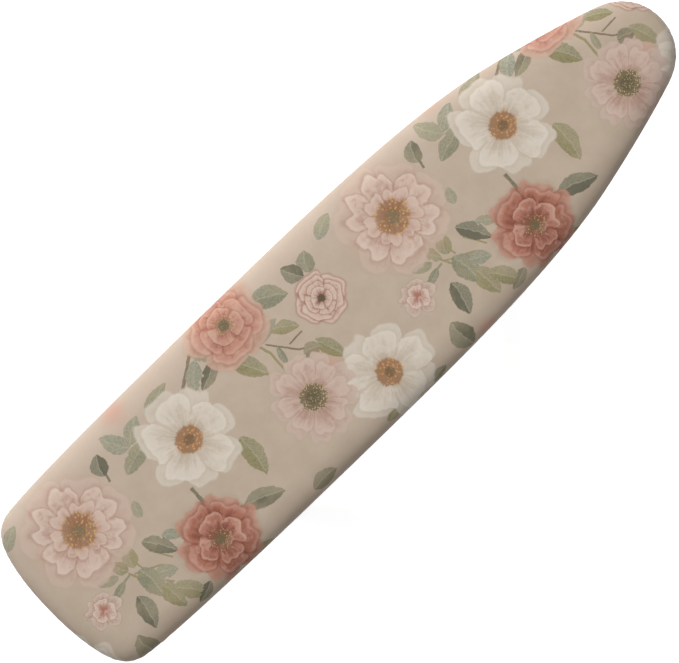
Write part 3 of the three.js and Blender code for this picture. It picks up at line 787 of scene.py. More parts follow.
middle_recipe = Recipe("stippled_middle", Paint="Color", Kind="Float", Radius="Float", Strokes="Float",
                       Specks="Float", Inner="Float", Outer="Float", Fill="Float", Heart="Float",
                       Dot="Color", Gap="Color", Middle="Color")
(under, kind, radius, strokes, specks, inner_edge, outer_edge, fill, heart,
 dot, gap, middle) = middle_recipe.inputs
ragged = radius + (strokes - 0.5) * 0.12
spread = ragged / outer_edge
hollow = ragged / inner_edge
colour = middle_recipe.mix(spread.rise(1.0, 0.82) * kind * fill, under, gap)
stamens = specks.rise(0.42, 0.24) * spread.rise(1.12, 0.95) * hollow.rise(1.0, 1.25) * kind
colour = middle_recipe.mix(stamens, colour, dot)
colour = middle_recipe.mix(hollow.rise(1.15, 0.85) * kind, colour, middle)
dotted = specks.rise(0.5, 0.2) * hollow.rise(1.0, 0.7) * kind * heart
middle_recipe.gives(middle_recipe.mix(dotted, colour, dot))


class Bloom:
    """The coordinates of one layer of flowers, and the masks that pick out a kind."""

    def __init__(self, name):
        self.at = cotton.vector("MULTIPLY_ADD", shake, (0.07, 0.07, 0.0), cotton.map(name))
        self.kinds = cotton.face_value(name + "_kind")
        x, y, _ = cotton.parts(self.at)
        radius = cotton.number("ShaderNodeVectorMath", {"operation": "LENGTH"}, {0: self.at}, out="Value")
        way = cotton.vector("NORMALIZE", self.at)
        drift = cotton.joined(0.0, 0.0, radius * 0.9 + self.kinds * 3.1)
        self.round = {
            "Radius": radius,
            "Turn": y.sum("ARCTAN2", x),
            "Strokes": cotton.noise(cotton.vector("MULTIPLY_ADD", way, (4.5, 4.5, 0.0), drift),
                                    1.4, 3.0, 0.6),
        }
        self.lobes = cotton.noise(cotton.vector("MULTIPLY_ADD", way, (1.5, 1.5, 0.0), drift), 1.2, 1.0)
        self.dabs = cotton.noise(self.at, 3.2, 3.0, 0.6)

    def kind(self, name):
        self.chosen = abs(self.kinds - KINDS.index(name)).rise(0.6, 0.4)
        return self.chosen

    def petals(self, paint, count, size, light, dark, rim, *, turn=0.0, notch=0.2, tip=0.0, wild=0.35,
               shadow=0.35, body=0.95):
        return petal_recipe.used_in(cotton, Paint=paint, Kind=self.chosen * body, **self.round,
                                    Lobes=self.lobes, Dabs=self.dabs, Count=count, Phase=turn, Size=size,
                                    Notch=notch, Tip=tip, Wild=wild, Shadow=shadow, Light=srgb(*light),
                                    Dark=srgb(*dark), Rim=srgb(*rim))

    def middle(self, paint, inner, outer, dot, gap, middle, *, dots=22.0, fill=0.7, heart=0.3):
        turnless = {key: self.round[key] for key in ("Radius", "Strokes")}
        return middle_recipe.used_in(cotton, Paint=paint, Kind=self.chosen, **turnless,
                                     Specks=cotton.cells(self.at, dots), Inner=inner, Outer=outer,
                                     Fill=fill, Heart=heart, Dot=srgb(*dot), Gap=srgb(*gap),
                                     Middle=srgb(*middle))


# %% Flowers: the seven kinds
low = Bloom("bloom")
peony = low.kind("peony")
paint = over(paint, low.round["Radius"].rise(1.06, 0.84) * peony * 0.35, srgb(196, 164, 146))
paint = low.petals(paint, 7, 0.96, (200, 176, 160), (180, 142, 124), (208, 186, 170), turn=0.3, notch=0.22,
                   shadow=0.1, wild=0.5, body=0.7)
paint = low.petals(paint, 6, 0.78, (210, 186, 170), (164, 118, 100), (220, 200, 185), notch=0.28, tip=0.14,
                   wild=0.5)
paint = low.petals(paint, 6, 0.5, (207, 180, 164), (156, 106, 86), (216, 194, 178), turn=0.5, notch=0.26,
                   tip=0.12, wild=0.5)
paint = low.middle(paint, 0.12, 0.33, (204, 158, 98), (148, 108, 72), (132, 112, 84), dots=20, heart=0.5)

low.kind("anemone")
paint = low.petals(paint, 7, 0.98, (208, 196, 180), (190, 175, 157), (214, 203, 189), turn=0.35,
                   notch=0.24, shadow=0.1, wild=0.5, body=0.88)
paint = low.petals(paint, 5, 0.84, (216, 205, 190), (190, 174, 155), (222, 212, 199), turn=0.1, notch=0.26,
                   wild=0.55, shadow=0.3)
paint = low.middle(paint, 0.1, 0.3, (204, 150, 92), (150, 106, 68), (124, 100, 72), dots=17, fill=0.85,
                   heart=0.6)

low.kind("coral")
paint = low.petals(paint, 6, 0.97, (180, 124, 104), (140, 82, 64), (200, 156, 138), turn=0.2, tip=0.08,
                   shadow=0.15, wild=0.5, body=0.85)
paint = low.petals(paint, 5, 0.8, (172, 112, 92), (118, 58, 44), (208, 164, 146), turn=0.6, notch=0.22,
                   wild=0.6)
paint = low.petals(paint, 4, 0.55, (182, 124, 104), (112, 54, 42), (212, 174, 156), turn=0.1, notch=0.26,
                   wild=0.6)
paint = low.middle(paint, 0.11, 0.25, (176, 152, 108), (140, 98, 74), (112, 94, 68), dots=24, fill=0.6)

low.kind("rose")
paint = low.petals(paint, 5, 0.98, (194, 156, 136), (172, 120, 102), (206, 176, 158), turn=0.1, notch=0.16,
                   shadow=0.15, wild=0.5, body=0.85)
paint = low.petals(paint, 4, 0.8, (196, 146, 127), (156, 94, 76), (210, 178, 160), turn=0.7, notch=0.18,
                   wild=0.5)
paint = low.petals(paint, 4, 0.6, (194, 142, 122), (144, 82, 66), (210, 174, 156), turn=0.2, notch=0.16,
                   wild=0.5)
paint = low.petals(paint, 3, 0.4, (198, 150, 130), (150, 88, 70), (208, 172, 154), turn=0.9, notch=0.14,
                   wild=0.4)
paint = low.middle(paint, 0.12, 0.22, (196, 172, 136), (164, 124, 98), (112, 102, 76), dots=26)

low.kind("ranunculus")
for size, turn, count, light, dark in (
        (0.98, 0.0, 4, (206, 178, 162), (160, 108, 92)), (0.82, 0.5, 3, (208, 182, 166), (150, 96, 80)),
        (0.62, 0.2, 4, (208, 182, 166), (146, 92, 76)), (0.42, 0.8, 3, (210, 186, 170), (140, 88, 74))):
    paint = low.petals(paint, count, size, light, dark, (218, 196, 180), turn=turn, notch=0.12, wild=0.4,
                       shadow=0.6)
paint = low.middle(paint, 0.13, 0.17, (150, 122, 98), (104, 84, 64), (98, 82, 62), fill=0.8)

low.kind("bud")
paint = low.petals(paint, 5, 0.97, (200, 180, 164), (168, 120, 102), (214, 196, 182), turn=0.2, notch=0.26,
                   wild=0.7, body=0.85)
paint = low.petals(paint, 3, 0.6, (212, 190, 175), (172, 118, 100), (220, 202, 188), turn=0.8, notch=0.2,
                   wild=0.6)

high = Bloom("over_bloom")
high.kind("cosmos")
paint = high.petals(paint, 9, 0.97, (198, 174, 159), (176, 144, 128), (204, 183, 169), turn=0.15,
                    notch=0.28, tip=0.05, wild=0.4, shadow=0.1, body=0.9)
paint = high.petals(paint, 8, 0.8, (204, 180, 165), (172, 136, 120), (208, 187, 173), turn=0.5, notch=0.26,
                    tip=0.06, wild=0.4, shadow=0.2)
paint = high.middle(paint, 0.15, 0.31, (190, 176, 138), (112, 98, 70), (104, 92, 66), dots=26, fill=0.85,
                    heart=0.6)

# %% [markdown]
# The threads of a plain cotton weave are about 0.4 mm apart. They are too fine to see as colour from a few
# metres, but up close the light catches them, so they go into the bump, crossed over and under.

# %% Weave and wear of the cotton
u, v, _ = cotton.parts(cotton.stretched(on_cloth, (2 * math.pi / (0.75 * MM),) * 3))
warp, weft = u.sum("SINE"), v.sum("SINE")
weave = (warp * weft) * 0.25 + (abs(warp) + abs(weft)) * 0.25
slub = cotton.noise(cotton.stretched(on_cloth, (900.0, 90.0, 1.0)), 1.0, 2.0)
paint = cotton.mix((slub - 0.5) * 0.1 + 0.03, paint, srgb(120, 106, 92))
cotton.feed(Base_Color=paint, Roughness=0.8 + (wash - 0.5) * 0.14)
cotton.bump(weave + slub * 0.5, 0.12, 0.55)
print(len(cotton.tree.nodes), "nodes in the cotton")
# %% [markdown]
# ## Pad, elastic and rim
#
# The felt pad is a flat slab with a feathered edge, so that the cover rounds over softly. The hem's elastic
# is a round braided cord. The rim is one steel tube bent to the outline and butt-jointed in the middle of the
# heel. All three are rows round the outline again: only the section changes. A section that closes on
# itself gets its last row exactly on its first, and the two are merged.

# %% Felt pad, hem elastic and rim tube
pad_low, pad_high = (corner.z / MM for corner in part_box("felt_pad"))
pad = start_round("felt_pad_shape", (48, pad_high), filled=True)
for row in ((38, pad_high - 0.6), (30, pad_high - 1.6), (22, pad_high - 3.3), (15, pad_high - 5.6),
            (12, pad_high - 7), (11, pad_high - 7.7), (10.8, pad_low)):
    add_row(pad, row)
close_end(pad, "face")
shade(pad, 50)


def round_section(name, inset, z, radius, sides):
    """A ring of round section along the outline."""
    turns = np.linspace(0, 2 * math.pi, sides + 1)
    section = [(inset - radius * math.cos(a), z + radius * math.sin(a)) for a in turns]
    piece = start_round(name, section[0], filled=False)
    for row in section[1:]:
        add_row(piece, row)
    tidy_mesh(piece)
    return piece


elastic_low, elastic_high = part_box("hem_elastic")
elastic = round_section("hem_elastic_shape", HEM_INSET - 5, (elastic_low.z + elastic_high.z) / 2 / MM, 2, 10)
shade(elastic, 60)

RIM_INSET, RIM_RADIUS = 13, 9
rim_z = (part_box("rim_tube")[0].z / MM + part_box("rim_tube")[1].z / MM) / 2
rim = round_section("rim_tube_shape", RIM_INSET, rim_z, RIM_RADIUS, 18)
apply_modifier(rim, "SOLIDIFY", thickness=1 * MM, offset=-1)
shade(rim, 50)
deselect()
bpy.ops.mesh.primitive_torus_add(major_radius=8.6 * MM, minor_radius=1.3 * MM, major_segments=48,
                                 minor_segments=10, rotation=(math.pi / 2, 0, 0),
                                 location=((-HALF_LENGTH + RIM_INSET) * MM, 0, rim_z * MM))
joint = begin("rim_joint")
shade(joint, 60)
rim = join("rim_tube_shape", rim, joint)
print("pad, elastic and rim:", [len(piece.data.vertices) for piece in (pad, elastic, rim)], "vertices")

# %% [markdown]
# ## Expanded-metal panel
#
# Expanded metal is sheet slit in rows and pulled open into diamonds, so that steam passes through and little
# steel is used. A grid turned by 45 degrees and squeezed gives the diamonds. Each is inset by half a strand
# and its middle removed, which leaves a net, and Solidify gives it the sheet's thickness. Strands past the
# rim tube's middle line are trimmed away, where the real net is welded down.

# %% Expanded-metal panel
DIAMOND_LONG, DIAMOND_WIDE, STRAND = 22.0, 10.0, 1.9
cells_each_way = 98
deselect()
bpy.ops.mesh.primitive_grid_add(x_subdivisions=cells_each_way, y_subdivisions=cells_each_way,
                                size=cells_each_way * MM, rotation=(0, 0, math.pi / 4),
                                location=(0, 0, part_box("mesh_panel")[0].z + 0.3 * MM))
panel = begin("mesh_panel_shape")
bpy.ops.object.mode_set(mode="EDIT")
bpy.ops.mesh.select_all(action="SELECT")
bpy.ops.transform.resize(value=(DIAMOND_LONG / math.sqrt(2), DIAMOND_WIDE / math.sqrt(2), 1),
                         center_override=(0, 0, 0))
bpy.ops.mesh.select_mode(type="FACE")
bpy.ops.mesh.select_all(action="DESELECT")
bpy.ops.object.mode_set(mode="OBJECT")
spots = points(panel)[:, :2] / MM
left_side = OUTLINE[OUTLINE[:, 1] >= 0]
left_side = left_side[np.argsort(left_side[:, 0])]
from_edge = np.array([np.min(np.hypot(*(OUTLINE - spot).T)) for spot in spots])
trimmed = from_edge < RIM_INSET
trimmed |= np.abs(spots[:, 1]) > np.interp(spots[:, 0], left_side[:, 0], left_side[:, 1], 0, 0)
panel.data.polygons.foreach_set("select", [any(trimmed[v] for v in face.vertices)
                                           for face in panel.data.polygons])
bpy.ops.object.mode_set(mode="EDIT")
bpy.ops.mesh.delete(type="FACE")
bpy.ops.mesh.select_all(action="SELECT")
bpy.ops.mesh.inset(thickness=STRAND / 2 * MM, use_individual=True)
bpy.ops.mesh.delete(type="FACE")
bpy.ops.object.mode_set(mode="OBJECT")
apply_modifier(panel, "SOLIDIFY", thickness=0.6 * MM, offset=0)
print(len(panel.data.polygons), "faces in the net")

# %% [markdown]
# ## Folded sheet
#
# Braces, rails, brackets and the lever's arm are strips of sheet bent on a brake. The way here is the same: a
# flat plane is laid down, its long edge is extruded from bend to bend, the bends are bevelled into their
# radius, and Solidify gives the sheet its thickness to both sides of that middle surface.

# %% Fold a strip
def folded(name, corners, ends, along, thickness, bend):
    """Corners are (across, up) points of the middle surface in mm. The strip runs along 'X' or 'Y'
    between its ends."""
    def at(corner, end):
        return Vector((end, corner[0], corner[1]) if along == "X" else (corner[0], end, corner[1])) * MM

    deselect()
    bpy.ops.mesh.primitive_plane_add(size=1)
    strip = begin(name)
    move_points(strip, [at(corners[0], ends[0]), at(corners[1], ends[0]), at(corners[0], ends[1]),
                        at(corners[1], ends[1])])
    bpy.ops.object.mode_set(mode="EDIT")
    bpy.ops.mesh.select_mode(type="EDGE")
    for here, there in zip(corners[1:], corners[2:]):
        pick_edges(strip, lambda a, b: near(a, at(here, ends[0])) and near(b, at(here, ends[1])))
        bpy.ops.mesh.extrude_region_move(TRANSFORM_OT_translate={"value": at(there, 0) - at(here, 0)})
    if bend:
        bends = [at(corner, 0) for corner in corners[1:-1]]
        lengthwise = 0 if along == "X" else 1

        def on_bend(a, b):
            return any(all(abs(p[i] - q[i]) < 1e-5 for i in range(3) if i != lengthwise for p in (a, b))
                       for q in bends)
        pick_edges(strip, on_bend)
        bpy.ops.mesh.bevel(offset=bend * MM, segments=5, profile=0.5)
    bpy.ops.mesh.select_all(action="SELECT")
    bpy.ops.mesh.normals_make_consistent(inside=False)
    bpy.ops.object.mode_set(mode="OBJECT")
    apply_modifier(strip, "SOLIDIFY", thickness=thickness * MM, offset=0, use_even_offset=True)
    return strip


def near(a, b, gap=2e-6):
    return (a - b).length < gap


def pick_edges(piece, wanted):
    """In edit mode, selects the edges whose two ends satisfy `wanted`, either way round."""
    bpy.ops.mesh.select_mode(type="EDGE")
    bpy.ops.mesh.select_all(action="DESELECT")
    bpy.ops.object.mode_set(mode="OBJECT")
    spots = [v.co for v in piece.data.vertices]
    for edge in piece.data.edges:
        a, b = (spots[i] for i in edge.vertices)
        edge.select = bool(wanted(a, b) or wanted(b, a))
    bpy.ops.object.mode_set(mode="EDIT")


def drill(radius, place, along="Y", depth=60, stretch=0.0):
    """A cutting tool: a round bar, drawn out along X by `stretch` for a slot. Sizes in mm."""
    deselect()
    turn = {"X": (0, math.pi / 2, 0), "Y": (math.pi / 2, 0, 0), "Z": (0, 0, 0)}[along]
    bpy.ops.mesh.primitive_cylinder_add(vertices=40, radius=radius * MM, depth=depth * MM,
                                        location=Vector(place) * MM, rotation=turn)
    tool = begin("tool")
    if stretch:
        spots = points(tool)
        spots[spots[:, 0] > place[0] * MM, 0] += stretch * MM
        move_points(tool, spots)
    return tool


def rivet(place, radius=3.2, height=1.4, along="Z", side=-1):
    """A low domed head on a surface, pointing to `side` of an axis."""
    deselect()
    bpy.ops.mesh.primitive_uv_sphere_add(segments=20, ring_count=12, radius=radius * MM)
    head = begin("rivet")
    spots = points(head) * (1, 1, height / radius)
    spots[:, 2] = np.maximum(spots[:, 2], -0.3 * MM) * side
    turn = {"X": Matrix.Rotation(math.pi / 2, 4, "Y"), "Y": Matrix.Rotation(-math.pi / 2, 4, "X"),
            "Z": Matrix.Identity(4)}[along]
    move_points(head, spots)
    tidy_mesh(head)
    put(head, Matrix.Translation(Vector(place) * MM) @ turn)
    shade(head, 50)
    return head


# %% Braces
SHEET = 1.5
BRACE_NODES = ["heel_brace", "rail_middle_brace", "rail_front_brace", "bracket_brace", "nose_brace"]
brace_ends = {}
for node in BRACE_NODES:
    low, high = (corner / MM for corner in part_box(node))
    brace_ends[node] = (low, high)
    half = SHEET / 2
    channel = [(low.x + half, high.z), (low.x + half, low.z + half), (high.x - half, low.z + half),
               (high.x - half, high.z)]
    brace = folded(node + "_shape", channel, (low.y, high.y), "Y", SHEET, 1.9)
    middle = (low.x + high.x) / 2
    cut(brace, *[drill(4.5, (middle, y, low.z), "Z", 10) for y in (-96, -32, 32, 96) if abs(y) < high.y - 25])
    finish_shape(brace, 0.25)
    belongs(brace, "board", "galvanised_steel", node)
print({node: round(ends[1].y - ends[0].y) for node, ends in brace_ends.items()}, "mm long")

# %% Slotted rails
rail_low, rail_high = (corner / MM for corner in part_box("guide_rail_left"))
web = rail_high.y - SHEET / 2
legs_joint = next(joint for joint in frame["joints"] if joint["name"] == "legs_fold")
OPEN_ANGLE = math.radians(legs_joint["range_deg"][1])
PIVOT = Vector(legs_joint["pos_m"]) / MM
UPPER_LEG, LEG_LENGTH = 440, 1060
folded_rod_x, open_rod_x = PIVOT.x - 2 * UPPER_LEG, PIVOT.x - 2 * UPPER_LEG * math.cos(OPEN_ANGLE)
rail = folded("guide_rail_left_shape", [
    (rail_low.y, rail_high.z - SHEET / 2), (web, rail_high.z - SHEET / 2), (web, rail_low.z + SHEET / 2),
    (web - 7.8, rail_low.z + SHEET / 2)], (rail_low.x, rail_high.x), "X", SHEET, 2.0)
cut(rail, drill(7.5, (folded_rod_x, web, PIVOT.z), stretch=open_rod_x - folded_rod_x))
finish_shape(rail, 0.25)
crossings = [sum(e.x for e in brace_ends[node]) / 2 for node in BRACE_NODES[:3]]
rail = join("guide_rail_left_shape", rail, *[rivet((x, rail_low.y + 5.2, rail_high.z - SHEET))
                                             for x in crossings])
belongs(rail, "board", "galvanised_steel", "guide_rail_left")
belongs(copy_of(rail, "guide_rail_right_shape", MIRROR_Y), "board", "galvanised_steel", "guide_rail_right")
print(f"rod runs {open_rod_x - folded_rod_x:.0f} mm in the slots")

# %% Forked leg brackets
fork_low, fork_high = (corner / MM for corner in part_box("pivot_bracket_left"))
CHEEK = 2.5
fork = folded("pivot_bracket_left_shape", [
    (fork_low.y + CHEEK / 2, fork_low.z), (fork_low.y + CHEEK / 2, fork_high.z - CHEEK / 2),
    (fork_high.y - CHEEK / 2, fork_high.z - CHEEK / 2), (fork_high.y - CHEEK / 2, fork_low.z)],
    (fork_low.x, fork_high.x), "X", CHEEK, 2.6)
activate(fork)
bpy.ops.object.mode_set(mode="EDIT")
pick_edges(fork, lambda a, b: a.z < fork_low.z * MM + 1e-5 and b.z < fork_low.z * MM + 1e-5
           and abs(a.x - b.x) < 1e-6 and abs(a.y - b.y) < 4 * MM)
bpy.ops.mesh.bevel(offset=9 * MM, segments=8)
bpy.ops.object.mode_set(mode="OBJECT")
cut(fork, drill(4.3, (PIVOT.x, (fork_low.y + fork_high.y) / 2, PIVOT.z)))
finish_shape(fork, 0.3)
mid_y = (fork_low.y + fork_high.y) / 2
fork = join("pivot_bracket_left_shape", fork,
            *[rivet((PIVOT.x + dx, mid_y, fork_high.z - CHEEK), 3.6, 1.6) for dx in (-7.5, 7.5)])
belongs(fork, "board", "galvanised_steel", "pivot_bracket_left")
belongs(copy_of(fork, "pivot_bracket_right_shape", MIRROR_Y), "board", "galvanised_steel",
        "pivot_bracket_right")

# %% [markdown]
# ## Turned pieces
#
# Pins, bolts, rods, bushes, plugs and foot caps are round. A lathe hand would turn them from a bar, and the
# spin tool does that to a half profile: one vertex is walked along the profile by extruding it, and the line
# is spun a full turn about the axis. The seam is merged and the normals are set outwards.

# %% Turn a profile about the Y axis
def turned(name, profile, steps=40, place=Matrix.Identity(4)):
    """Profile points are (radius, y) in mm, up the outside of the piece."""
    deselect()
    bpy.ops.mesh.primitive_plane_add(size=MM)
    piece = begin(name)
    bpy.ops.object.mode_set(mode="EDIT")
    bpy.ops.mesh.select_mode(type="VERT")
    bpy.ops.mesh.select_all(action="SELECT")
    bpy.ops.mesh.merge(type="CENTER")
    radius, height = profile[0]
    bpy.ops.transform.translate(value=Vector((radius, height, 0)) * MM)
    for (r0, y0), (r1, y1) in zip(profile, profile[1:]):
        bpy.ops.mesh.extrude_region_move(TRANSFORM_OT_translate={"value": Vector((r1 - r0, y1 - y0, 0)) * MM})
    bpy.ops.mesh.select_all(action="SELECT")
    bpy.ops.mesh.spin(steps=steps, angle=2 * math.pi, center=(0, 0, 0), axis=(0, 1, 0))
    bpy.ops.object.mode_set(mode="OBJECT")
    tidy_mesh(piece, 0.005 * MM)
    put(piece, place)
    shade(piece, 35)
    return piece


def at(x, y, z):
    return Matrix.Translation(Vector((x, y, z)) * MM)


# %% Bracket pins
pin_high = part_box("leg_pivot_pin_left")[1] / MM
reach = pin_high.y - mid_y - 2
pin = turned("leg_pivot_pin_left_shape", [
    (0, -reach - 1.8), (3.2, -reach - 1.6), (5.4, -reach - 0.9), (6.4, -reach + 0.05), (4.0, -reach + 0.05),
    (4.0, reach - 0.05), (5.6, reach - 0.05), (5.8, reach + 0.6), (4.8, reach + 1.5), (2.4, reach + 1.9),
    (1.4, reach + 1.3), (0, reach + 1.2)], place=at(PIVOT.x, mid_y, PIVOT.z))
belongs(pin, "board", "zinc_steel", "leg_pivot_pin_left")
belongs(copy_of(pin, "leg_pivot_pin_right_shape", MIRROR_Y), "board", "zinc_steel", "leg_pivot_pin_right")
# %% [markdown]
# ## Legs
#
# Each pair of legs is drawn upright in its own frame, with the upper pivot at the origin and the legs hanging
# down, and is then leaned into place as one. A tube starts as an open cylinder that Solidify gives a wall.
# Its foot end is coped: cut to the shape of the foot bar it is welded to. The bead of each weld is a thin
# torus, pushed along until it lies on the other tube, with the small ripples that a welder leaves.

# %% Tubes and weld beads
def tube(name, radius, wall, start, end, sides=44):
    """An open tube between two points in mm."""
    start, end = Vector(start), Vector(end)
    deselect()
    bpy.ops.mesh.primitive_cylinder_add(vertices=sides, radius=radius * MM, depth=(end - start).length * MM,
                                        end_fill_type="NOTHING", location=(start + end) / 2 * MM,
                                        rotation=(end - start).to_track_quat("Z", "Y").to_euler())
    piece = begin(name)
    apply_modifier(piece, "SOLIDIFY", thickness=wall * MM, offset=-1)
    return piece


def weld(ring_radius, onto_radius, place, size=1.5):
    """A bead round a tube along local Z, where it meets a bar along local Y below it."""
    deselect()
    bpy.ops.mesh.primitive_torus_add(major_radius=ring_radius * MM, minor_radius=size * MM, major_segments=72,
                                     minor_segments=10)
    bead = begin("weld")
    spots = points(bead) / MM
    round_bead = np.arctan2(spots[:, 1], spots[:, 0])
    core = np.c_[np.cos(round_bead), np.sin(round_bead)] * ring_radius
    swell = 1 + 0.16 * np.sin(round_bead * 23) + 0.08 * np.sin(round_bead * 7 + 1)
    spots[:, :2] = core + (spots[:, :2] - core) * swell[:, None]
    spots[:, 2] = spots[:, 2] * swell + np.sqrt(np.maximum(onto_radius**2 - core[:, 0] ** 2, 0))
    move_points(bead, spots * MM)
    shade(bead, 60)
    return put(bead, place)


LEAN = math.pi / 2 - OPEN_ANGLE
TUBE_RADIUS, TUBE_END, GAP = 11, 14, 0.3
OUTER_SPREAD, INNER_SPREAD = 105, 46  # from the middle to each leg of a pair
outer_frame = at(PIVOT.x, 0, PIVOT.z) @ Matrix.Rotation(LEAN, 4, "Y")
inner_frame = at(open_rod_x, 0, PIVOT.z) @ Matrix.Rotation(-LEAN, 4, "Y")
LEG_PAIRS = {
    "outer_leg": dict(frame=outer_frame, body="outer_legs", spread=OUTER_SPREAD, foot=370, hole=4.3,
                      stretchers={"outer_leg_stretcher": LEG_LENGTH - 115}),
    "inner_leg": dict(frame=inner_frame, body="inner_legs", spread=INNER_SPREAD, foot=300, hole=5.3,
                      stretchers={"inner_leg_upper_stretcher": 130,
                                  "inner_leg_lower_stretcher": LEG_LENGTH - 115}),
}
TO_LEFT = Matrix.Rotation(-math.pi / 2, 4, "X")  # turns local Z to +Y
SOLE_DROP, CAP_RADIUS, CAP_GRIP, CAP_LENGTH = 14, 15, 30, 36


def foot_cap(name):
    """A ribbed cap for a foot bar's +Y end, mouth towards -Y, drawn level with the floor."""
    bore = TUBE_RADIUS + GAP
    ribs = []
    for y in (-26.5, -23, -19.5, -16):
        ribs += [(CAP_RADIUS, y - 1.1), (CAP_RADIUS - 0.7, y - 0.7), (CAP_RADIUS - 0.7, y + 0.7),
                 (CAP_RADIUS, y + 1.1)]
    cap = turned(name, [(0, 0), (bore, 0), (bore, -CAP_GRIP), (CAP_RADIUS - 1, -CAP_GRIP),
                        (CAP_RADIUS, -CAP_GRIP + 1), *ribs, (CAP_RADIUS, -1), (CAP_RADIUS - 0.8, 1.8),
                        (CAP_RADIUS - 2.6, 3.9), (CAP_RADIUS - 6, 5.3), (5, 5.9),
                        (0, CAP_LENGTH - CAP_GRIP)], steps=64)
    bpy.ops.object.mode_set(mode="EDIT")
    bpy.ops.mesh.select_all(action="SELECT")
    bpy.ops.mesh.bisect(plane_co=(0, 0, -SOLE_DROP * MM), plane_no=(0, 0, 1), use_fill=True, clear_inner=True)
    bpy.ops.object.mode_set(mode="OBJECT")
    cut(cap, *[drill(0.7, (0, y, -SOLE_DROP), "X") for y in (-26.5, -23, -19.5, -16)])
    shade(cap, 35)
    return cap


for name, pair in LEG_PAIRS.items():
    to_place, spread, body = pair["frame"], pair["spread"], pair["body"]
    # A leg tube, its plug and its foot cap, made for the left and mirrored to the right.
    leg = tube(f"{name}_tube_left_shape", TUBE_RADIUS, 1, (0, spread, TUBE_END), (0, spread, -LEG_LENGTH))
    cut(leg, drill(pair["hole"], (0, spread, 0)), drill(4.3, (0, spread, -UPPER_LEG)),
        drill(TUBE_RADIUS + GAP, (0, spread, -LEG_LENGTH)))
    shade(leg, 35)
    plug = turned(f"{name}_tube_plug_left_shape", [
        (0, -6), (9, -6), (9.7, -5.2), (9.7, 0.3), (TUBE_RADIUS, 0.35), (TUBE_RADIUS, 1.1), (10.2, 2.3),
        (8, 3.2), (4, 3.6), (0, 3.6)], place=at(0, spread, TUBE_END) @ Matrix.Rotation(math.pi / 2, 4, "X"))
    bar_half = pair["foot"] / 2 - (CAP_LENGTH - CAP_GRIP) - 0.3
    foot_at = to_place @ Vector((0, 0, -LEG_LENGTH * MM)) / MM
    cap = put(foot_cap(f"{name}_foot_cap_left_shape"), at(foot_at.x, bar_half + 0.3, foot_at.z))
    belongs(cap, body, "grey_plastic", f"{name}_foot_cap_left")
    belongs(copy_of(cap, f"{name}_foot_cap_right_shape", MIRROR_Y), body, "grey_plastic",
            f"{name}_foot_cap_right")
    for piece, slot in ((leg, "painted_steel"), (plug, "grey_plastic")):
        node = piece.name.removesuffix("_left_shape")
        put(piece, to_place)
        belongs(piece, body, slot, f"{node}_left")
        belongs(copy_of(piece, f"{node}_right_shape", MIRROR_Y), body, slot, f"{node}_right")
    # The foot bar carries the beads of the two legs welded on it.
    beads = [weld(TUBE_RADIUS + 0.7, TUBE_RADIUS + 0.2, at(0, side * spread, -LEG_LENGTH))
             for side in (1, -1)]
    bar = tube(f"{name}_foot_bar_shape", TUBE_RADIUS, 1, (0, -bar_half, -LEG_LENGTH),
               (0, bar_half, -LEG_LENGTH))
    shade(bar, 35)
    bar = put(join(f"{name}_foot_bar_shape", bar, *beads), to_place)
    belongs(bar, body, "painted_steel", f"{name}_foot_bar")
    # Cross tubes, coped to the legs at both ends.
    for node, down in pair["stretchers"].items():
        cross = tube(node + "_shape", 8, 1, (0, -spread, -down), (0, spread, -down), 36)
        cut(cross, *[drill(TUBE_RADIUS + GAP, (0, side * spread, -down), "Z") for side in (1, -1)])
        shade(cross, 35)
        beads = [weld(8.5, TUBE_RADIUS + 0.2, at(0, side * spread, -down)
                      @ Matrix.Rotation(math.pi if side > 0 else 0, 4, "Z") @ TO_LEFT, 1.3)
                 for side in (1, -1)]
        cross = put(join(node + "_shape", cross, *beads), to_place)
        belongs(cross, body, "painted_steel", node)
print("legs lean", round(math.degrees(LEAN), 1), "degrees from upright")

# %% [markdown]
# ## Scissor bolts, slide rod, bushes
#
# The legs cross on two shoulder bolts, each with a domed head outside, a nylon spacer between the legs and a
# flanged lock nut inside. The rod at the top of the inner legs runs in the rail slots on flanged nylon bushes
# and is kept by push-on clips.

# %% Scissor bolts, nuts and spacers
HEAD_AT, NUT_AT = OUTER_SPREAD + TUBE_RADIUS + GAP, INNER_SPREAD - TUBE_RADIUS - GAP
thread = []
for k in range(7):
    thread += [(3.95, NUT_AT - 8.6 + k * 1.25), (3.4, NUT_AT - 8.0 + k * 1.25)]
bolt_place = outer_frame @ at(0, 0, -UPPER_LEG)
bolt = turned("scissor_bolt_left_shape", [
    (0, NUT_AT - 9), (3.2, NUT_AT - 9), *thread, (4, NUT_AT + 0.5), (4, HEAD_AT), (8.9, HEAD_AT),
    (9, HEAD_AT + 0.8), (8.3, HEAD_AT + 2.4), (6.6, HEAD_AT + 3.9), (4.2, HEAD_AT + 4.8), (0, HEAD_AT + 5)])
deselect()
bpy.ops.mesh.primitive_cylinder_add(vertices=6, radius=2.9 * MM, depth=6 * MM, rotation=(math.pi / 2, 0, 0),
                                    location=(0, (HEAD_AT + 5) * MM, 0))
cut(bolt, begin("hex_key"))
shade(bolt, 35)
deselect()
bpy.ops.mesh.primitive_cylinder_add(vertices=6, radius=7.9 * MM, depth=6.4 * MM, rotation=(math.pi / 2, 0, 0),
                                    location=(0, (NUT_AT - 4.4) * MM, 0))
nut_body = begin("nut_body")
finish_shape(nut_body, 0.6, 3)
flange = turned("flange", [(0, NUT_AT - 1.9), (8.2, NUT_AT - 1.9), (9.4, NUT_AT - 1), (9.5, NUT_AT),
                           (0, NUT_AT)])
for part in (nut_body, flange):
    cut(part, drill(4.1, (0, NUT_AT, 0)), solver="MANIFOLD")
nut = join("scissor_nut_left_shape", nut_body, flange)
shade(nut, 35)
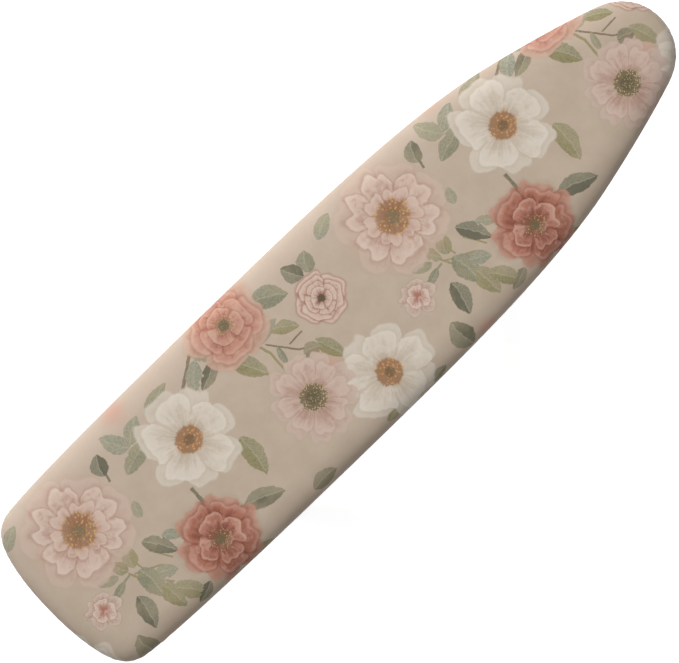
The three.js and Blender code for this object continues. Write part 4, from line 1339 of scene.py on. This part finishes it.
inside, outside = INNER_SPREAD + TUBE_RADIUS + GAP, OUTER_SPREAD - TUBE_RADIUS - GAP
spacer = turned("scissor_spacer_left_shape", [
    (4.3, inside), (8, inside), (8.5, inside + 0.6), (8.5, inside + 4), (7.2, inside + 6), (7.2, outside - 6),
    (8.5, outside - 4), (8.5, outside - 0.6), (8, outside), (4.3, outside), (4.3, inside)])
for piece, slot in ((bolt, "zinc_steel"), (nut, "zinc_steel"), (spacer, "nylon")):
    node = piece.name.removesuffix("_left_shape")
    put(piece, bolt_place)
    belongs(piece, "outer_legs", slot, f"{node}_left")
    belongs(copy_of(piece, f"{node}_right_shape", MIRROR_Y), "outer_legs", slot, f"{node}_right")

# %% Slide rod, bushes and clips
rod_low, rod_high = (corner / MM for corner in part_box("slide_rod"))
rod_place = at(open_rod_x, 0, PIVOT.z)
rod = turned("slide_rod_shape", [
    (0, rod_low.y), (4.4, rod_low.y), (5, rod_low.y + 0.6), (5, rod_high.y - 1.2), (4.2, rod_high.y - 0.2),
    (3.6, rod_high.y), (0, rod_high.y)], place=rod_place)
belongs(rod, "inner_legs", "zinc_steel", "slide_rod")
bush = turned("slide_bush_left_shape", [
    (5.3, 66.7), (9.4, 66.7), (10, 67.3), (10, 69.1), (9.5, 69.7), (7.2, 69.7), (7.2, 71.7), (6.8, 72.2),
    (5.3, 72.2), (5.3, 66.7)], 48, rod_place)
clip = turned("rod_clip_left_shape", [
    (5.15, 72.5), (8.6, 72.5), (9, 72.9), (8.7, 73.9), (7.6, 74.3), (5.6, 74.9), (5.15, 74.6), (5.15, 72.5)],
    place=rod_place)
for piece, slot in ((bush, "nylon"), (clip, "zinc_steel")):
    node = piece.name.removesuffix("_left_shape")
    belongs(piece, "inner_legs", slot, f"{node}_left")
    belongs(copy_of(piece, f"{node}_right_shape", MIRROR_Y), "inner_legs", slot, f"{node}_right")

# %% [markdown]
# ## Release lever
#
# A shaft along the right rail carries a toothed comb. A spring turns the comb's notches over the end of the
# slide rod. Squeezing the grip under the board's edge lifts them clear, so that the legs can fold. The comb
# and the lugs are blanked from plate: a polygon is filled, extruded to the plate's thickness and its edges
# broken with a small bevel.

# %% Plates
def plate(name, corners, low, high, along, edge=0.25):
    """A flat plate. Corners are (x, z) for a plate across Y, or (y, z) for one across X, in mm."""
    deselect()
    bpy.ops.mesh.primitive_circle_add(vertices=len(corners), radius=0.01, fill_type="NGON")
    piece = begin(name)
    flat = [(c[0], low, c[1]) if along == "Y" else (low, c[0], c[1]) for c in corners]
    move_points(piece, np.array(flat) * MM)
    bpy.ops.object.mode_set(mode="EDIT")
    bpy.ops.mesh.select_mode(type="FACE")
    bpy.ops.mesh.select_all(action="SELECT")
    step = (0, (high - low) * MM, 0) if along == "Y" else ((high - low) * MM, 0, 0)
    bpy.ops.mesh.extrude_region_move(TRANSFORM_OT_translate={"value": step})
    bpy.ops.mesh.select_all(action="SELECT")
    bpy.ops.mesh.normals_make_consistent(inside=False)
    bpy.ops.object.mode_set(mode="OBJECT")
    return finish_shape(piece, edge) if edge else piece


def arc(x, z, radius, start, end, steps=8):
    return [(x + radius * math.cos(math.radians(a)), z + radius * math.sin(math.radians(a)))
            for a in np.linspace(start, end, steps + 1)]


SHAFT = Vector((0, -78, 872))
lug_low, lug_high = (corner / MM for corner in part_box("lever_lug_front"))
lug = plate("lever_lug_front_shape", [
    (lug_high.y, lug_high.z), (lug_high.y, SHAFT.z - 12), (lug_high.y - 1.5, SHAFT.z - 12),
    *arc(SHAFT.y, SHAFT.z, 8, -50, -180), (lug_low.y, lug_high.z)], lug_low.x, lug_high.x, "X", 0)
cut(lug, drill(4.3, (lug_low.x, SHAFT.y, SHAFT.z), "X"))
finish_shape(lug, 0.25)
rear_lug_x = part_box("lever_lug_rear")[0].x / MM
belongs(copy_of(lug, "lever_lug_rear_shape", at(rear_lug_x - lug_low.x, 0, 0)), "board", "galvanised_steel",
        "lever_lug_rear")
belongs(lug, "board", "galvanised_steel", "lever_lug_front")

# %% Lever shaft, comb and arm
lever_joint = next(joint for joint in frame["joints"] if joint["name"] == "lever_squeeze")
RELEASED = math.radians(lever_joint["range_deg"][0])
lever_frame = at(0, SHAFT.y, SHAFT.z) @ Matrix.Rotation(RELEASED, 4, "X")
SHAFT_ENDS = (-642, -249)
ALONG_X = Matrix.Rotation(-math.pi / 2, 4, "Z")  # turns local Y to +X
shaft = turned("lever_shaft_shape", [
    (0, SHAFT_ENDS[0]), (3.3, SHAFT_ENDS[0]), (4, SHAFT_ENDS[0] + 0.7), (4, SHAFT_ENDS[1] - 0.7),
    (3.3, SHAFT_ENDS[1]), (0, SHAFT_ENDS[1])], 32, lever_frame @ ALONG_X)
belongs(shaft, "release_lever", "zinc_steel", "lever_shaft")

HEIGHTS = np.linspace(900, 700, 6)
DROP, SOLE = 900 - PIVOT.z, SOLE_DROP


def rod_at(height):
    """Where the rod is when the ironing surface is at a height."""
    return PIVOT.x - 2 * UPPER_LEG * math.sqrt(1 - ((height - DROP - SOLE) / LEG_LENGTH) ** 2)


notches = [folded_rod_x, *sorted(rod_at(height) for height in HEIGHTS)]
crown = PIVOT.z - SHAFT.z + 6
comb_outline = [(folded_rod_x - 11, -4.3), (folded_rod_x - 11, -25.5), (folded_rod_x - 8.5, -28)]
for x in notches:
    comb_outline += [(x - 7, -28), (x - 6, -25.2), (x - 6, crown - 4),
                     *arc(x, crown - 6, 6, 160, 20, 8), (x + 6, crown - 4), (x + 6, -25.2), (x + 7, -28)]
comb_outline += [(open_rod_x + 10.5, -28), (open_rod_x + 13, -25.5), (open_rod_x + 13, -4.3)]
comb = put(plate("height_comb_shape", comb_outline, -1.25, 1.25, "Y", 0.2), lever_frame)
belongs(comb, "release_lever", "galvanised_steel", "height_comb")

GRIP_X, ARM_THICK = -560, 4
arm = folded("lever_arm_shape", [(-4.3, 0), (-43, 0), (-43, -32), (-70, -32)], (GRIP_X - 9, GRIP_X + 9), "X",
             ARM_THICK, 4.5)
finish_shape(arm, 0.4)
arm = put(arm, lever_frame)
belongs(arm, "release_lever", "galvanised_steel", "lever_arm")
print("comb notches at", [round(x) for x in notches])

# %% [markdown]
# The grip is a moulded bar that fingers curl over. It starts as a block whose four upright edges are bevelled
# until its ends are round. Its top and bottom edges are then softened, and shallow channels across its
# underside keep fingers from slipping.

# %% Grip
GRIP_LENGTH, GRIP_WIDTH, GRIP_THICK, GRIP_Y = 92, 26, 12, -66
grip_top = -34.3
deselect()
bpy.ops.mesh.primitive_cube_add(size=MM, location=Vector((GRIP_X, GRIP_Y, grip_top - GRIP_THICK / 2)) * MM,
                                scale=(GRIP_LENGTH, GRIP_WIDTH, GRIP_THICK))
grip = begin("lever_grip_shape")
bpy.ops.object.mode_set(mode="EDIT")
pick_edges(grip, lambda a, b: abs(a.x - b.x) < 1e-6 and abs(a.y - b.y) < 1e-6)
bpy.ops.mesh.bevel(offset=(GRIP_WIDTH / 2 - 0.05) * MM, segments=14)
bpy.ops.object.mode_set(mode="OBJECT")
apply_modifier(grip, "BEVEL", width=2.6 * MM, segments=5, limit_method="ANGLE", angle_limit=math.radians(50))
cut(grip, *[drill(2.2, (GRIP_X + dx, GRIP_Y, grip_top - GRIP_THICK - 1.1), "Y") for dx in range(-30, 31, 10)],
    solver="MANIFOLD")
finish_shape(grip, 0.3, 2, 40)
put(grip, lever_frame)
belongs(grip, "release_lever", "grey_plastic", "lever_grip")

# %% Closing spring
spring_low, spring_high = (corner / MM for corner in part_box("lever_spring"))
WIRE, COILS = 0.75, 5
turns = np.linspace(0, COILS * 2 * math.pi, COILS * 20)
coil = [((spring_low.x + WIRE) + (spring_high.x - spring_low.x - 2 * WIRE) * a / turns[-1],
         SHAFT.y + 5.0 * math.sin(a), SHAFT.z + 5.0 * math.cos(a)) for a in turns]
coil = [(coil[0][0], SHAFT.y + 5.2, coil[0][2]), *coil, (coil[-1][0], SHAFT.y + 5.2, coil[-1][2])]
wire = bpy.data.curves.new("spring_wire", "CURVE")
wire.dimensions, wire.bevel_depth, wire.bevel_resolution, wire.use_fill_caps = "3D", WIRE * MM, 3, True
line = wire.splines.new("POLY")
line.points.add(len(coil) - 1)
for point, place in zip(line.points, coil):
    point.co = (*(Vector(place) * MM), 1)
spring = bpy.data.objects.new("lever_spring_shape", wire)
bpy.context.scene.collection.objects.link(spring)
activate(spring)
bpy.ops.object.convert(target="MESH")
spring = bpy.context.object
shade(spring, 60)
belongs(spring, "board", "zinc_steel", "lever_spring")
# %% [markdown]
# ## Metal, plastic and felt
#
# Powder paint is a satin skin with a faint orange peel and a few scuffs. Galvanised sheet shows its
# crystals as flat patches that each reflect a little differently. Plated pins are brighter, with a turned
# grain. All of them read the object's own coordinates, so the pattern stays with the piece as it moves.

# %% Powder-coated tube
coat = Finish("painted_steel", Metallic=0.0, Specular_IOR_Level=0.5, Coat_Weight=0.15)
at_place = coat.place()
peel = coat.noise(at_place, 900, 2.0)
dust = coat.noise(at_place, 14, 4.0, 0.6)
scuff = coat.noise(coat.stretched(at_place, (1, 1, 0.2)), 160, 4.0, 0.7).rise(0.64, 0.74)
colour = coat.mix(dust.rise(0.3, 0.7), srgb(186, 186, 184), srgb(198, 197, 194))
colour = coat.mix(scuff * 0.15, colour, srgb(134, 133, 130))
coat.feed(Base_Color=colour, Roughness=0.36 + (dust - 0.5) * 0.2 + scuff * 0.25)
coat.bump(peel + scuff * -0.3, 0.03, 0.3)

# %% Galvanised sheet
galvanised = Finish("galvanised_steel", Metallic=0.92)
at_place = galvanised.place()
wobble = galvanised.vector("MULTIPLY_ADD", galvanised.noise(at_place, 300, 2.0, out=1), (0.002,) * 3,
                           at_place)
patch = galvanised.cells(wobble, 210, out="Color")
tone = galvanised.parts(patch)[0]
border = galvanised.cells(wobble, 210, "DISTANCE_TO_EDGE").rise(0.06, 0.0)
stain = galvanised.noise(at_place, 30, 4.0, 0.6)
colour = galvanised.mix(tone, srgb(150, 153, 156), srgb(190, 193, 196))
colour = galvanised.mix(border * 0.3, colour, srgb(128, 131, 134))
colour = galvanised.mix(stain.rise(0.55, 0.75) * 0.3, colour, srgb(168, 168, 164))
galvanised.feed(Base_Color=colour, Roughness=0.34 + tone * 0.16 + stain * 0.1)
galvanised.bump(tone * 0.4 + galvanised.noise(at_place, 500, 3.0), 0.03, 0.6)

# %% Zinc-plated pins, bolts and rods
zinc = Finish("zinc_steel", Metallic=1.0)
at_place = zinc.place()
turning_marks = zinc.noise(zinc.stretched(at_place, (1.0, 14.0, 1.0)), 260, 3.0)
film = zinc.noise(at_place, 60, 3.0)
colour = zinc.mix(film, srgb(196, 198, 198), srgb(208, 206, 196))
zinc.feed(Base_Color=zinc.mix(turning_marks.rise(0.55, 0.75) * 0.3, colour, srgb(160, 162, 164)),
          Roughness=0.22 + turning_marks * 0.14)
zinc.bump(turning_marks, 0.02, 0.5)

# %% Moulded plastic and nylon
plastic = Finish("grey_plastic", Specular_IOR_Level=0.45)
at_place = plastic.place()
grain = plastic.cells(at_place, 1500)
soil = plastic.noise(at_place, 40, 4.0, 0.6)
plastic.feed(Base_Color=plastic.mix(soil.rise(0.35, 0.75), srgb(70, 72, 74), srgb(84, 86, 87)),
             Roughness=0.52 + (soil - 0.5) * 0.2)
plastic.bump(grain, 0.08, 0.6)

nylon = Finish("nylon", Subsurface_Weight=0.15, Specular_IOR_Level=0.45)
nylon.shader.inputs["Subsurface Radius"].default_value = (0.002, 0.0018, 0.0015)
at_place = nylon.place()
haze = nylon.noise(at_place, 120, 3.0)
nylon.feed(Base_Color=nylon.mix(haze, srgb(226, 222, 210), srgb(236, 233, 224)), Roughness=0.36 + haze * 0.16)
nylon.bump(nylon.noise(at_place, 1400, 2.0), 0.03, 0.4)

# %% Felt and elastic
felt = Finish("pad_felt", Sheen_Weight=0.3, Sheen_Roughness=0.6, Specular_IOR_Level=0.15)
at_place = felt.place()
tangle = felt.noise(at_place, 700, 5.0, 0.75)
clumps = felt.noise(at_place, 60, 3.0, 0.6)
fleck = felt.cells(at_place, 420).rise(0.2, 0.08)
colour = felt.mix((tangle + clumps).rise(0.7, 1.35), srgb(196, 190, 178), srgb(226, 221, 210))
colour = felt.mix(fleck * clumps.rise(0.5, 0.65) * 0.5, colour, srgb(150, 150, 156))
felt.feed(Base_Color=colour, Roughness=0.9 + (clumps - 0.5) * 0.1)
felt.bump(tangle + clumps * 0.4, 0.5, 0.8)

braid = Finish("elastic", Roughness=0.75, Sheen_Weight=0.1)
x, y, z = braid.parts(braid.place())
strand = abs(((x + y) * 1500 + z * 1200).sum("SINE")) * abs(((x + y) * 1500 - z * 1200).sum("SINE"))
# Painted shade: the cord is darker in the grooves between its strands, where the bump is low, and lighter on
# their crowns.
braid.feed(Base_Color=braid.mix(strand, srgb(196, 190, 180), srgb(236, 232, 224)))
braid.bump(strand, 0.25, 0.8)

# %% The finish for every slot
FINISHES = {"cover_cloth": cotton, "painted_steel": coat, "galvanised_steel": galvanised, "zinc_steel": zinc,
            "grey_plastic": plastic, "nylon": nylon, "pad_felt": felt, "elastic": braid}
# %% The soft pieces and the rim take their places
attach(cover, "board")
belongs(cover, "board", "cover_cloth", "fabric_cover")
belongs(pad, "board", "pad_felt", "felt_pad")
belongs(elastic, "board", "elastic", "hem_elastic")
belongs(rim, "board", "painted_steel", "rim_tube")
belongs(panel, "board", "galvanised_steel", "mesh_panel")

# %% Paint them
for piece, slot in made.values():
    piece.data.materials.clear()
    piece.data.materials.append(FINISHES[slot].material)
print(len(made), "pieces made;", len(frame["nodes"]), "plain nodes in the frame")
# %% [markdown]
# ## Floor, light and camera
#
# The board stands on a plain white floor in a bright room with one large window on its left side. The room's
# light grows softly towards the window. A big round lamp stands for the window itself, low enough to round
# off the far edge in shade, and a weaker one, high up on the same side, fills the middle. The camera alone
# sees an even, pale backdrop, so a view from low down isn't dark, and the light on the board is unchanged.
#
# The camera hangs straight above with a long lens, so the top is seen square on, and is turned so that the
# board's length runs from corner to corner.

# %% Floor
deselect()
bpy.ops.mesh.primitive_plane_add(size=12)
floor = begin("floor")
white = Finish("studio_floor", Roughness=0.9)
speck = white.noise(white.place(), 6, 4.0)
white.feed(Base_Color=white.mix(speck, srgb(246, 246, 246), srgb(250, 250, 250)),
           Emission_Color=white.mix(speck, srgb(250, 250, 250), srgb(252, 252, 252)))
white.shader.inputs["Emission Strength"].default_value = 0.62
floor.data.materials.append(white.material)

# %% Light
world = bpy.data.worlds.new("bright_room")
world.use_nodes = True
sky = Mixer()
sky.tree = world.node_tree
toward_window = sky.number("ShaderNodeVectorMath", {"operation": "DOT_PRODUCT"}, {
    0: sky.node("ShaderNodeTexCoord", out="Generated"), 1: (0.0, 0.85, 0.53)}, out="Value")
background = world.node_tree.nodes["Background"]
background.inputs["Color"].default_value = (1, 1, 1, 1)
seen = sky.node("ShaderNodeLightPath", out="Is Camera Ray")
room_light = 0.05 + toward_window.rise(-0.8, 1.0) * 0.24
BACKDROP = 0.85
sky.connect(room_light + seen * (BACKDROP - room_light), background.inputs["Strength"])
bpy.context.scene.world = world


def lamp(name, place, aim, size, power):
    deselect()
    bpy.ops.object.light_add(type="AREA", location=place)
    light = bpy.context.object
    light.name = name
    light.data.shape, light.data.size, light.data.energy = "DISK", size, power
    light.rotation_euler = (Vector(aim) - Vector(place)).to_track_quat("-Z", "Y").to_euler()


lamp("window", (0.3, 3.4, 3.3), (0, 0, 0.8), 1.8, 119)
lamp("ceiling", (-0.2, 1.4, 5.4), (-0.2, 0, 0.8), 1.8, 84)

# %% Camera
CAMERA_X, CAMERA_Y, CAMERA_TURN = -0.0375, -0.0026, -44.126
CAMERA_ABOVE = 3.5  # metres above the ironing surface
EDGE_AWAY = 3.519  # metres from the camera down to the board's edge
VIEW_WIDTH = 1.0938  # metres across the view at the height of that edge
SENSOR_WIDTH = 36
deselect()
bpy.ops.object.camera_add(location=(CAMERA_X, CAMERA_Y, top_z * MM + CAMERA_ABOVE),
                          rotation=(0, 0, math.radians(CAMERA_TURN)))
camera = bpy.context.object
camera.name = "camera"
camera.data.sensor_width = SENSOR_WIDTH
camera.data.lens = SENSOR_WIDTH * EDGE_AWAY / VIEW_WIDTH
camera.data.clip_end = 60
bpy.context.scene.camera = camera
bpy.context.scene.view_settings.view_transform = "Standard"
